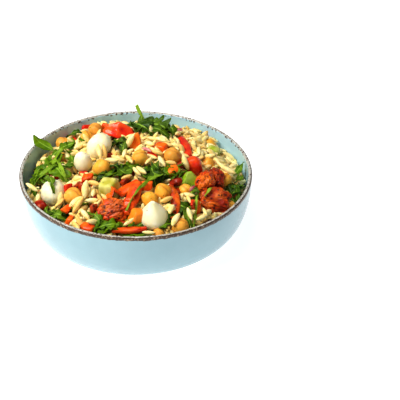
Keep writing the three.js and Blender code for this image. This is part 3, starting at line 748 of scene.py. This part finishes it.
def makeStrip(node, look):
    def halfWidth(s, t):
        return look["wide"] / 2 * (0.45 + 0.55 * math.sin(math.pi * min(1, max(0, s))) ** 0.5)

    bm = bmesh.new()
    bmesh.ops.create_grid(bm, x_segments=28, y_segments=8, size=1)
    layAlong(bm, {**stripShape, **look}, halfWidth)
    for vert in bm.verts:
        vert.co.z += stripShape["uneven"] * lumps(vert.co, 0.25, 4.4)
    setLayer(bm, "tint", look["tint"])
    setLayer(bm, "patch", lambda vert: clamp(0.3 + 1.4 * lumps(vert.co, 0.2, 7)) * 0.5)
    bmesh.ops.solidify(bm, geom=bm.faces[:], thickness=stripShape["thick"])
    bmesh.ops.recalc_face_normals(bm, faces=bm.faces)
    tooHigh = max(vert.co.z for vert in bm.verts) - solidBox(node)[1][2]
    bmesh.ops.translate(bm, vec=(0, 0, -tooHigh), verts=bm.verts)
    sharp = [edge for edge in bm.edges if edge.calc_face_angle(0) > 0.9]
    bmesh.ops.bevel(bm, geom=sharp, offset=stripShape["edge"], affect="EDGES", segments=3, profile=0.5,
                    material=-1)
    remember(bm)
    makePiece(bm, camel(node), look["skin"], [node], look.get("slot"))


for node, look in strips.items():
    makeStrip(node, look)
print("strips are in")


# rocket: a stem that widens into a lobed, ruffled blade with a pointed tip
# each leaf's tint is how much painted shade darkens it
leaves = {
    "rocket_over_rim": {"path": (-68.5, 28.5, -84.5, 34.5), "wide": 12.5, "lobes": 0.9, "stem": 0.0,
        "overRim": True, "lift": (1.5, 9.5, 19.3), "tint": 0.1, "wave": 0.6, "frill": 0.2},
    "rocket_left_back": {"path": (-70, 25, -46, 31), "wide": 12, "lift": (0.6, 3.5, 1.5), "tint": 0.1},
    "rocket_stem_back": {"path": (9, 46, -4, 64), "wide": 4, "lobes": 0.0, "stem": 0.9, "tint": 0.0,
        "lift": (0.6, 8, 20), "pale": 0.6, "least": 1.3, "frill": 0.0},
    "rocket_back_right": {"path": (-1, 59, 28, 43), "wide": 19, "wave": 3, "lift": (2, 6.5, 1.5), "tint": 0.6,
        "lobes": 4.5, "frill": 2.0},
    "rocket_back_middle": {"path": (-11, 57, 11, 33), "wide": 17, "wave": 2.5, "lift": (2, 7, 1.5),
        "tint": 0.75, "lobes": 4.5, "frill": 2.0},
    "rocket_left_wall": {"path": (-80, -14, -60, 6), "wide": 16, "lift": (0.6, 4, 2), "wave": 2, "tint": 0.1,
        "frill": 0.8},
    "rocket_left": {"path": (-69, 8, -51, -26), "wide": 16, "lift": (1.5, 4, 1.5), "wave": 2, "tint": 0.1,
        "lobes": 3.5, "frill": 0.8},
    "rocket_by_pearl": {"path": (-53, 20, -49, -5), "wide": 12, "lift": (0.6, 3, 1), "tint": 0.2},
    "rocket_middle": {"path": (11, -10, 17, -37), "wide": 15, "lift": (0.6, 3.5, 1.2), "tint": 0.8},
    "rocket_small_middle": {"path": (-19, -29, 2, -16), "wide": 10, "lift": (0.6, 2.5, 1.2), "tint": 0.5},
    "rocket_front_left": {"path": (-64, -50, -46, -66), "wide": 14, "lift": (0.6, 3, 1), "tint": 0.75},
    "rocket_front": {"path": (-26, -78, -6, -75), "wide": 11, "lift": (0.8, 4, 1.5), "tint": 0.2},
    "rocket_right_tip": {"path": (74.5, 3, 83.5, 15), "wide": 5.5, "lobes": 0.9, "lift": (0.6, 6, 14),
        "tint": 0.1},
    "rocket_right_curl": {"path": (73, -26, 81, -8), "wide": 14, "lift": (0.6, 3.5, 2), "wave": 2,
        "lobes": 1.5, "frill": 0.2, "tint": 0.8},
    "rocket_on_pearl": {"path": (-69, -16, -57.4, -46.5), "wide": 6.5, "stem": 0.4, "lift": (0.6, 2, 2.4),
        "wave": 0.4, "tint": 0.3},
    "rocket_stem_tomato": {"path": (48.8, -33, 46.5, -67.5), "wide": 2.6, "stem": 0.5, "lift": (1, 3, 1),
        "wave": 0.3, "tint": 0.0, "pale": 1.0},
}
leafShape = {"stem": 0.15, "lobes": 2.5, "cup": 0.15, "wave": 1.0, "frill": 0.6, "sweep": 0.35, "thick": 0.42,
             "least": 0.5}


def drawLeaf(bm, look, long=44, across=8):
    whole = {**leafShape, **look}

    def halfWidth(s, t):
        along = min(1.0, max(0.0, (s - whole["stem"]) / (1 - whole["stem"])))
        swing = math.sin(math.pi * whole["lobes"] * along + (0.5 if t > 0 else 0.0))
        lobes = 0.24 + 0.76 * abs(swing) ** 0.9
        return max(whole["least"], whole["wide"] / 2 * lobes * math.sin(math.pi * min(0.97, along)) ** 0.5)

    bmesh.ops.create_grid(bm, x_segments=long, y_segments=across, size=1)
    layer = bm.loops.layers.uv.new("leaf")
    for face in bm.faces:
        for loop in face.loops:
            loop[layer].uv = ((loop.vert.co.x + 1) / 2, (loop.vert.co.y + 1) / 2)
    setLayer(bm, "tint", whole["tint"])
    setLayer(bm, "patch", whole.get("pale", 0.0))
    layAlong(bm, whole, halfWidth)
    bmesh.ops.recalc_face_normals(bm, faces=bm.faces)
    bmesh.ops.solidify(bm, geom=bm.faces[:], thickness=whole["thick"])


def makeLeaf(node, look):
    bm = bmesh.new()
    drawLeaf(bm, look)
    remember(bm)
    makePiece(bm, camel(node), "rocket", [node])


for node, look in leaves.items():
    makeLeaf(node, look)
print("rocket is in")

# stems and leaves of rocket that cross other pieces, and the many that lie among the grains
sprigs = [
    {"path": (-2.5, -68.5, 22, -26), "wide": 9, "stem": 0.65, "lobes": 2, "bow": -2.5, "lift": (8, 9.5, 5),
        "pale": 0.4, "tint": 0.1, "least": 0.8, "among": True},
    {"path": (-63, 4, -51, -27), "wide": 3, "stem": 0.2, "lobes": 0.5, "lift": (4, 7, 4), "pale": 0.8,
        "tint": 0.0, "least": 0.9},
    {"path": (-78, -22, -58, -2), "wide": 3.5, "lobes": 0.9, "lift": (3, 7, 3), "pale": 0.3, "tint": 0.1},
    {"path": (-72, -2, -50, 10), "wide": 3, "lobes": 0.9, "lift": (3, 6, 3), "pale": 0.3, "tint": 0.1},
    {"path": (20, -78, 30, -70), "wide": 7, "lobes": 1.5, "lift": (2.5, 4, 2.5), "tint": 0.2, "among": True},
    {"path": (77, -7, 83, 1), "wide": 6, "lobes": 0.9, "lift": (4, 7, 9), "tint": 0.1, "among": True},
    {"path": (53.5, -41, 58.5, -34), "wide": 2.6, "lobes": 0.9, "lift": (1, 2, 1.5), "pale": 0.9, "tint": 0.0,
        "frill": 0.0, "wave": 0.0},
    {"path": (-63, 51, -47, 48), "wide": 6, "lobes": 0.9, "lift": (3, 7, 4), "tint": 0.7, "among": True},
    {"path": (-34, -24, -10, -21), "wide": 5, "stem": 0.5, "lobes": 1, "bow": 3, "lift": (2, 3, 2),
        "tint": 0.3},
    {"path": (33, -28, 40, -19), "wide": 3, "stem": 0.5, "lobes": 1, "bow": -2, "lift": (2, 4, 2),
        "tint": 0.2},
]
# each patch's tint sets how much painted shade darkens its leaves
greens = [
    {"at": (-66, -8), "reach": 18, "count": 16, "tint": 0.1, "wide": (3, 6)},
    {"at": (-58, -56), "reach": 9, "count": 5, "tint": 0.5},
    {"at": (-18, -76), "reach": 8, "count": 4, "tint": 0.4},
    {"at": (5, -80), "reach": 5, "count": 3, "tint": 0.3},
    {"at": (-10, -21), "reach": 9, "count": 5, "tint": 0.6},
    {"at": (-15, 16), "reach": 6, "count": 4, "tint": 0.6},
    {"at": (22, -20), "reach": 14, "count": 8, "tint": 0.4},
    {"at": (9, 49), "reach": 16, "count": 14, "tint": 0.6, "rise": 2.5, "wide": (6, 12)},
    {"at": (76, -14), "reach": 9, "count": 4, "tint": 0.6},
    {"at": (36, -58), "reach": 10, "count": 5, "tint": 0.4},
    {"at": (-54, 22), "reach": 9, "count": 3, "tint": 0.2},
    {"at": (-30, -60), "reach": 12, "count": 3, "tint": 0.4},
    {"at": (40, -30), "reach": 8, "count": 3, "tint": 0.5},
]

# drawn for each leaf, in this order
sprigDraws = {"lobes": (1.5, 3.5), "stem": (0, 0.3), "bow": (-3, 3), "wave": (1, 3), "phase": (0, 6),
              "frill": (0.4, 1.4), "cup": (-0.3, 0.4)}


def makeSprigs():
    draw = random.Random(5)
    bm = bmesh.new()
    looks = [dict(look) for look in sprigs]
    for patch in greens:
        for _ in range(patch["count"]):
            turn, away = draw.uniform(0, math.tau), patch["reach"] * draw.random() ** 0.5
            middle = Vector(patch["at"]) + Vector((math.cos(turn), math.sin(turn))) * away
            heading, length = draw.uniform(0, math.tau), draw.uniform(7, 13)
            step = Vector((math.cos(heading), math.sin(heading))) * length
            ends = (middle - step, middle + step)
            ends = [point * min(1.0, heap["within"] / point.length) for point in ends]
            looks.append({
                "path": (*ends[0], *ends[1]), "among": True,
                "wide": draw.uniform(*patch.get("wide", (6, 13))),
                **{name: draw.uniform(*span) for name, span in sprigDraws.items()},
                "lift": [draw.uniform(*span) + patch.get("rise", 0) for span in ((-2, 2), (1, 6), (-2, 2))],
                "tint": clamp(patch["tint"] + draw.uniform(-0.4, 0.4)),
                "pale": max(0.0, draw.uniform(-0.5, 0.35))})
    for look in looks:
        one = bmesh.new()
        drawLeaf(one, look, 32, 6)
        leaf = bpy.data.meshes.new("leaf")
        one.to_mesh(leaf)
        one.free()
        bm.from_mesh(leaf)
        bpy.data.meshes.remove(leaf)
    remember(bm)
    makePiece(bm, "rocketAmongGrains", "rocket", ["salad_heap"])


makeSprigs()
print("small leaves are in")


# the salad's own core, under the grains, coloured dark brown and olive as painted shade in the gaps between
# them, and paler where the pale heap lies
core = {"depth": 7.5, "rings": 40, "around": 96, "bumps": 1.6, "overlap": 0.6,
        "pale": [((54, 29), 25, 1.0), ((12, 18), 24, 0.6), ((-62, 8), 14, 0.4)]}


def coreHeight(x, y):
    return saladTop(x, y) - core["depth"] + core["bumps"] * lumps((x, y, 0), 0.16, 3)


# one more ring of faces on these edges; place says where each corner goes, from its direction
def addRing(bm, edges, place):
    made = bmesh.ops.extrude_edge_only(bm, edges=edges)["geom"]
    for vert in (item for item in made if isinstance(item, bmesh.types.BMVert)):
        vert.co = place(Vector((vert.co.x, vert.co.y, 0)).normalized())
    return [item for item in made if isinstance(item, bmesh.types.BMEdge)]


def makeCore():
    def onWall(away, share):
        height = floorHeight + (coreHeight(*(away.xy * rim)) - floorHeight) * share
        return away * (innerRadius(height) + core["overlap"]) + Vector((0, 0, height))

    def onTop(away, radius):
        x, y, _ = away * radius
        return Vector((x, y, coreHeight(x, y)))

    bm = bmesh.new()
    bmesh.ops.create_circle(bm, cap_ends=False, radius=1, segments=core["around"])
    rim = innerRadius(30) + core["overlap"]
    foot = bowl["wallStart"] + 8
    for vert in bm.verts:
        vert.co = Vector((vert.co.x * foot, vert.co.y * foot, floorHeight - 0.3))
    bottom = bm.edges[:]
    edges = bottom
    for share in (0.1, 0.3, 0.6, 1.0):
        edges = addRing(bm, edges, lambda away: onWall(away, share))
    for k in range(1, core["rings"]):
        edges = addRing(bm, edges, lambda away: onTop(away, rim * (1 - k / core["rings"])))
    bmesh.ops.contextual_create(bm, geom=edges)
    bmesh.ops.contextual_create(bm, geom=bottom)
    bmesh.ops.recalc_face_normals(bm, faces=bm.faces)
    setLayer(bm, "tint", lambda vert: max(
        depth * math.exp(-(math.dist(vert.co.xy, middle) / reach) ** 4)
        for middle, reach, depth in core["pale"]))
    makePiece(bm, "saladCorePaintedShade", "saladCorePaintedShade", ["salad_heap"])


makeCore()
print("core is in")


# grains of orzo and small bits are dropped on the core, pushed apart and off the other pieces, and drawn
# where they rest; each is a row of three balls while it falls
kinds = {
    "orzo": {"length": 11.5, "width": 4.4, "thick": 3.9, "shape": "spindle", "skin": "orzo"},
    "redPepperBits": {"length": 7.5, "width": 5.8, "thick": 2.6, "shape": "block", "skin": "redPepper"},
    "orangePepperBits": {"length": 7.5, "width": 5.5, "thick": 3.6, "shape": "block", "skin": "orangePepper"},
    "tomatoBits": {"length": 9, "width": 6.5, "thick": 4.5, "shape": "lump", "skin": "roastedTomato",
        "tint": 0.7},
    "onionBits": {"length": 9, "width": 2.8, "thick": 1.8, "shape": "spindle", "skin": "redOnion"},
    "courgetteBits": {"length": 6.5, "width": 5, "thick": 3.6, "shape": "block", "skin": "courgette"},
}
patches = [
    {"at": (0, 0), "reach": 79, "low": True, "orzo": 300, "redPepperBits": 11, "orangePepperBits": 13,
        "tomatoBits": 10, "onionBits": 8, "courgetteBits": 8},
    {"at": (54, 29), "reach": 24, "orzo": 150, "onionBits": 1},
    {"at": (12, 18), "reach": 26, "orzo": 160, "redPepperBits": 3, "orangePepperBits": 4, "onionBits": 3},
    {"at": (-24, -4), "reach": 12, "orzo": 28},
    {"at": (-32, -48), "reach": 13, "orzo": 36, "tomatoBits": 3, "redPepperBits": 2},
    {"at": (-74, -30), "reach": 8, "orzo": 12},
    {"at": (-34, -70), "reach": 14, "orzo": 32, "orangePepperBits": 2},
    {"at": (38, -62), "reach": 16, "orzo": 28, "tomatoBits": 4, "redPepperBits": 1, "onionBits": 2},
    {"at": (-45, 42), "reach": 20, "orzo": 60, "orangePepperBits": 4, "redPepperBits": 2},
    {"at": (10, -52), "reach": 12, "orzo": 12, "courgetteBits": 2},
    {"at": (67, 3), "reach": 8, "orzo": 14},
    {"at": (-62, 8), "reach": 15, "orzo": 40, "tomatoBits": 2, "courgetteBits": 2},
    {"at": (0, 62), "reach": 18, "orzo": 40, "redPepperBits": 2},
    {"at": (-42, -28), "reach": 12, "orzo": 12, "redPepperBits": 2, "orangePepperBits": 2},
    {"at": (30, -34), "reach": 14, "orzo": 12, "tomatoBits": 3, "redPepperBits": 1},
    {"at": (44, 64), "reach": 14, "orzo": 40, "orangePepperBits": 1},
    # the few dark tomato bits here, in place of grains, are painted shade by the rim
    {"at": (60, -56), "reach": 12, "orzo": 6, "tomatoBits": 3},
    {"at": (-30, 68), "reach": 14, "orzo": 30},
    {"at": (0, 0), "least": 68, "reach": 84, "low": True, "orzo": 150, "redPepperBits": 4,
        "orangePepperBits": 4, "tomatoBits": 4, "courgetteBits": 3},
]

# the pale part of the heap holds orzo alone
paleSpot = {"at": (55, 30), "reach": 30}

# middles and reaches of pieces that no loose grain lies on
clearSpots = [((34.5, 34), 5.5), ((36.5, 26), 5.5), ((38.5, 18), 5.5), ((-2, 15), 5), ((-14, 38), 7),
              ((-20, 38), 6), ((76, -4), 6), ((41, -24), 7)]

# those that stand out, where they lie: place, heading and slope in degrees, and size
heroGrains = [
    (38, -10, 60, -55, -50, 1.15), (70, -5, 48.5, -17, -15, 1.3), (28, 70, 44, -29, 2, 0.8),
    (-6, 14, 62, -138, -45, 1.1), (-9, 1, 60, -98, -8, 0.95), (12, 23, 60, -16, 0, 1.0),
    (18, 21, 61, -28, 0, 1.0), (16, 2, 61, -20, -3, 0.9), (20, -11, 61, -59, -16, 1.05),
    (27, -11, 60, -9, -5, 0.85), (-28, -4, 64, -71, -35, 1.05), (-24, -1, 62, -76, -34, 1.05),
    (-17, -11, 60, -28, 2, 0.95), (-77, -29, 46, -26, -15, 1.1), (-52, -54, 50, -135, -20, 0.85),
    (-38, -60, 53, -133, -41, 1.25), (-35, -46, 57, -114, -51, 1.25), (-28, -40, 59, -20, 3, 0.95),
    (-40, -57, 54, -140, -17, 1.1), (-31, -67, 50, -42, -25, 1.1), (-37, -75, 47, -44, -7, 1.0),
    (26, -54, 56, -144, -2, 0.95), (29, -62, 53, -115, -10, 0.95), (33, -71, 50, -123, -26, 1.1),
    (0, -78, 51, -164, -7, 0.8), (14, -81, 46, -19, -5, 0.8), (2, -26, 60, -52, -9, 1.0),
    (5, -24, 60, -57, -15, 1.0), (-5, -32, 60, -150, -3, 0.85), (42, -50, 54, -66, -15, 0.75),
    (54, -57, 48, -63, -19, 0.7), (52, -63, 47, -140, 1, 0.95), (43, -63, 50, -72, -19, 1.0),
    (-3, -8, 60, -48, -4, 1.0), (7, -7, 60, -133, 0, 0.85),
]
heroBits = [
    ("orangePepperBits", 10, -40, 58, 20, 0, 1.3), ("orangePepperBits", -34, -31.5, 58, 10, 10, 1.15),
    ("redPepperBits", -48, -38, 53, 40, 0, 0.9), ("orangePepperBits", -46, -61, 49, 30, 0, 0.95),
    ("onionBits", 8, 4, 62, -30, 0, 1.0), ("onionBits", 44, -40, 57, 60, 0, 1.0),
    ("tomatoBits", -26.5, -62, 52, 80, -20, 1.1), ("onionBits", 31, 45, 56, 0, 0, 0.9),
    ("redPepperBits", -46, 66, 42, 30, 0, 1.1), ("redPepperBits", 45, -54, 52, 70, -20, 0.9),
    ("orangePepperBits", -29, 56, 50, -20, 0, 1.0),
]


# a spindle's section along its length, and its bend; how square and how uneven blocks and lumps are
spindle = {"blunt": 2.1, "full": 0.72, "bend": 0.5}
blocks = {"block": {"square": 6.0, "uneven": 0.12}, "lump": {"square": 2.3, "uneven": 0.25}}


# one grain or bit, in mm, along x
def bitShape(kind):
    look = kinds[kind]
    bm = bmesh.new()
    half = Vector((look["length"], look["width"], look["thick"])) / 2
    if look["shape"] == "spindle":
        bmesh.ops.create_uvsphere(bm, u_segments=8, v_segments=7, radius=1)
        bmesh.ops.rotate(bm, cent=(0, 0, 0), matrix=Matrix.Rotation(math.pi / 2, 3, "Y"), verts=bm.verts)
        for vert in bm.verts:
            x = vert.co.x
            ring = Vector((0, vert.co.y, vert.co.z))
            full = (1 - abs(x) ** spindle["blunt"]) ** spindle["full"] if abs(x) < 0.999 else 0.0
            ring = ring.normalized() * full if ring.length > 1e-4 else ring
            vert.co = Vector((x * half.x, ring.y * half.y - spindle["bend"] * x * x, ring.z * half.z))
    else:
        square, uneven = blocks[look["shape"]].values()
        bmesh.ops.create_cube(bm, size=2)
        bmesh.ops.subdivide_edges(bm, edges=bm.edges[:], cuts=4, use_grid_fill=True)
        for vert in bm.verts:
            total = sum(abs(value) ** square for value in vert.co) ** (1 / square)
            point = vert.co / total
            point.x += 0.25 * point.y
            point.y *= 1 - 0.2 * point.x
            swell = 1 + uneven * lumps(point, 1.5, 2.7)
            vert.co = Vector((point.x * half.x, point.y * half.y, point.z * half.z)) * swell
    bm.verts.index_update()
    points = np.array([vert.co for vert in bm.verts])
    faces = [[vert.index for vert in face.verts] for face in bm.faces]
    bm.free()
    return points, faces


# what is drawn for each loose one: height over the heap, flatness, size, stretch, and how much darker it is
scatter = {"low": (-9, -3), "high": (-3, 6), "flat": 0.22, "size": (0.88, 1.14), "darker": 0.8,
           "stretch": ((0.95, 1.05), (0.88, 1.06), (0.88, 1.06))}


def gatherBits(draw):
    bits = []
    for kind, x, y, z, heading, slope, size in [("orzo", *row) for row in heroGrains] + heroBits:
        turn, rise = math.radians(heading), math.radians(slope)
        axis = (math.cos(turn) * math.cos(rise), math.sin(turn) * math.cos(rise), math.sin(rise))
        bits.append((kind, (x, y, z), axis, size, True))
    for patch in patches:
        heights = scatter["low" if patch.get("low") else "high"]
        for kind in kinds:
            for _ in range(patch.get(kind, 0)):
                away = math.sqrt(draw.uniform(patch.get("least", 0) ** 2, patch["reach"] ** 2))
                turn = draw.random() * math.tau
                x, y = patch["at"][0] + away * math.cos(turn), patch["at"][1] + away * math.sin(turn)
                inside = min(1.0, heap["within"] / math.hypot(x, y))
                x, y = x * inside, y * inside
                if kind != "orzo" and math.dist((x, y), paleSpot["at"]) < paleSpot["reach"]:
                    continue
                axis = draw.normal(size=3) * (1, 1, scatter["flat"])
                axis = tuple(axis / np.linalg.norm(axis))
                place = (x, y, saladTop(x, y) + draw.uniform(*heights))
                bits.append((kind, place, axis, draw.uniform(*scatter["size"]), False))
    return bits


# how they fall: rounds with and without a step down, how far over the heap one may end, the size and place of
# its balls, how far off they feel a piece, how firmly they are pushed, and their gap to the wall
fall = {"drops": 44, "settles": 26, "step": 0.45, "above": 3.6, "ball": 0.45, "inset": 0.4, "feel": 3,
        "firm": 0.8, "give": 0.6, "gap": 0.1}


# pushes between balls of different bits that are too near, found along x
def pushApart(balls, radii, owner):
    push = np.zeros_like(balls)
    order = np.argsort(balls[:, 0])
    ranked, widest = balls[order], 2 * radii.max()
    for shift in range(1, len(balls)):
        gap = ranked[shift:] - ranked[:-shift]
        if gap[:, 0].min() > widest:
            break
        away = np.linalg.norm(gap, axis=1)
        first, second = order[:-shift], order[shift:]
        need = radii[first] + radii[second]
        near = (away < need) & (owner[first] != owner[second])
        part = gap[near] / np.maximum(away[near], 1e-4)[:, None] * ((need[near] - away[near]) * 0.5)[:, None]
        np.add.at(push, second[near], part)
        np.add.at(push, first[near], -part)
    return push * fall["give"]


# pushes off the other pieces, up off the core and in from the wall
def pushOff(balls, radii, tree):
    push = np.zeros_like(balls)
    for i, (ball, radius) in enumerate(zip(balls, radii)):
        spot, normal, _, away = tree.find_nearest(Vector(ball), radius + fall["feel"])
        if spot is not None:
            out = Vector(ball) - spot
            if out.dot(normal) < 0:
                push[i] += np.array(normal) * (radius + away) * fall["firm"]
            elif away < radius:
                push[i] += np.array(out.normalized()) * (radius - away) * fall["firm"]
        floor = coreHeight(ball[0], ball[1]) + radius * fall["firm"]
        push[i][2] += max(0.0, floor - ball[2])
        wide = math.hypot(ball[0], ball[1])
        limit = innerRadius(min(ball[2], bowl["height"])) - radius - fall["gap"]
        if wide > limit:
            push[i][:2] -= ball[:2] / wide * (wide - limit)
    return push


def dropBits(bits):
    middle = np.array([bit[1] for bit in bits], dtype=float)
    axis = np.array([bit[2] for bit in bits], dtype=float)
    size = np.array([bit[3] for bit in bits])
    loose = np.array([not bit[4] for bit in bits])
    length = np.array([kinds[bit[0]]["length"] for bit in bits]) * size
    width = np.array([(kinds[bit[0]]["width"] + kinds[bit[0]]["thick"]) / 2 for bit in bits]) * size
    half = length / 2 - width * fall["inset"]
    radii = np.repeat(width * fall["ball"], 3)
    owner = np.repeat(np.arange(len(bits)), 3)
    share = loose.astype(float)[:, None, None]
    tree = obstacleTree()
    for step in range(fall["drops"] + fall["settles"]):
        if step < fall["drops"]:
            middle[loose, 2] -= fall["step"]
        spread = half[:, None] * np.array([-1.0, 0.0, 1.0])
        balls = (middle[:, None, :] + axis[:, None, :] * spread[:, :, None]).reshape(-1, 3)
        off = pushOff(balls, radii, tree).reshape(-1, 3, 3)
        apart = pushApart(balls, radii, owner).reshape(-1, 3, 3)
        push = off + apart * share
        middle += push.mean(axis=1)
        axis += (push[:, 2] - push[:, 0]) / (2 * half)[:, None]
        axis /= np.linalg.norm(axis, axis=1)[:, None]
    return middle, axis, size


def makeBits():
    draw = np.random.default_rng(7)
    bits = gatherBits(draw)
    middle, axis, size = dropBits(bits)
    for kind, look in kinds.items():
        points, faces = bitShape(kind)
        allPoints, allFaces, tints = [], [], []
        for i, bit in enumerate(bits):
            if bit[0] != kind:
                continue
            tooHigh = middle[i][2] > saladTop(middle[i][0], middle[i][1]) + fall["above"]
            covers = any(math.dist(middle[i][:2], spot) < reach for spot, reach in clearSpots)
            if not bit[4] and (tooHigh or covers):
                continue
            turn = Vector((1, 0, 0)).rotation_difference(Vector(axis[i])).to_matrix()
            turn = turn @ Matrix.Rotation(draw.uniform(0, math.tau), 3, "X")
            stretch = np.array([draw.uniform(*span) for span in scatter["stretch"]])
            start = len(allPoints) * len(points)
            allPoints.append((points * size[i] * stretch) @ np.array(turn).T + middle[i])
            allFaces.extend([start + j for j in face] for face in faces)
            tint = look.get("tint", 0) + draw.random() ** 3 * scatter["darker"]
            tints.extend([min(1.0, tint)] * len(points))
        mesh = bpy.data.meshes.new(kind)
        mesh.from_pydata(np.concatenate(allPoints), [], allFaces)
        bm = bmesh.new()
        bm.from_mesh(mesh)
        bpy.data.meshes.remove(mesh)
        layer = bm.verts.layers.float.new("tint")
        for vert, tint in zip(bm.verts, tints):
            vert[layer] = tint
        setLayer(bm, "patch", lambda vert: clamp(2 * lumps(vert.co, 0.3, 1.1)) * 0.6)
        bmesh.ops.recalc_face_normals(bm, faces=bm.faces)
        print(kind, len(allPoints), "faces", len(bm.faces))
        remember(bm)
        makePiece(bm, kind, look["skin"], ["salad_heap"])


makeBits()
print("grains and bits are in")

# flecks of herbs and ground pepper on what lies on top
flecks = {"count": 230, "reach": 78, "least": 0.2, "most": 0.45}


def makeFlecks():
    draw = random.Random(23)
    tree = obstacleTree()
    bm = bmesh.new()
    for _ in range(flecks["count"]):
        away, turn = flecks["reach"] * math.sqrt(draw.random()), draw.uniform(0, math.tau)
        spot, normal, _, _ = lookDown(tree, away * math.cos(turn), away * math.sin(turn))
        if spot is None:
            continue
        size = draw.uniform(flecks["least"], flecks["most"])
        lie = normal.to_track_quat("Z", "Y").to_matrix().to_4x4()
        shape = Matrix.Translation(spot) @ lie @ Matrix.Rotation(draw.uniform(0, math.tau), 4, "Z")
        shape = shape @ Matrix.Diagonal((size * draw.uniform(1, 2), size, size * 0.4, 1))
        bmesh.ops.create_icosphere(bm, subdivisions=1, radius=1, matrix=shape)
    makePiece(bm, "herbFlecks", "herbs", ["salad_heap"])


makeFlecks()
print("flecks are on")

# the bright table that it stands on
floorLook = {"Base Color": (0.6, 0.6, 0.6, 1), "Emission Color": (1, 1, 1, 1), "Emission Strength": 0.8}
floorShape = bmesh.new()
bmesh.ops.create_grid(floorShape, x_segments=1, y_segments=1, size=3)
floorPlane = makeObject(floorShape, "floor", newMaterial("floor", 0.7, **floorLook)[0])
print("floor is down")
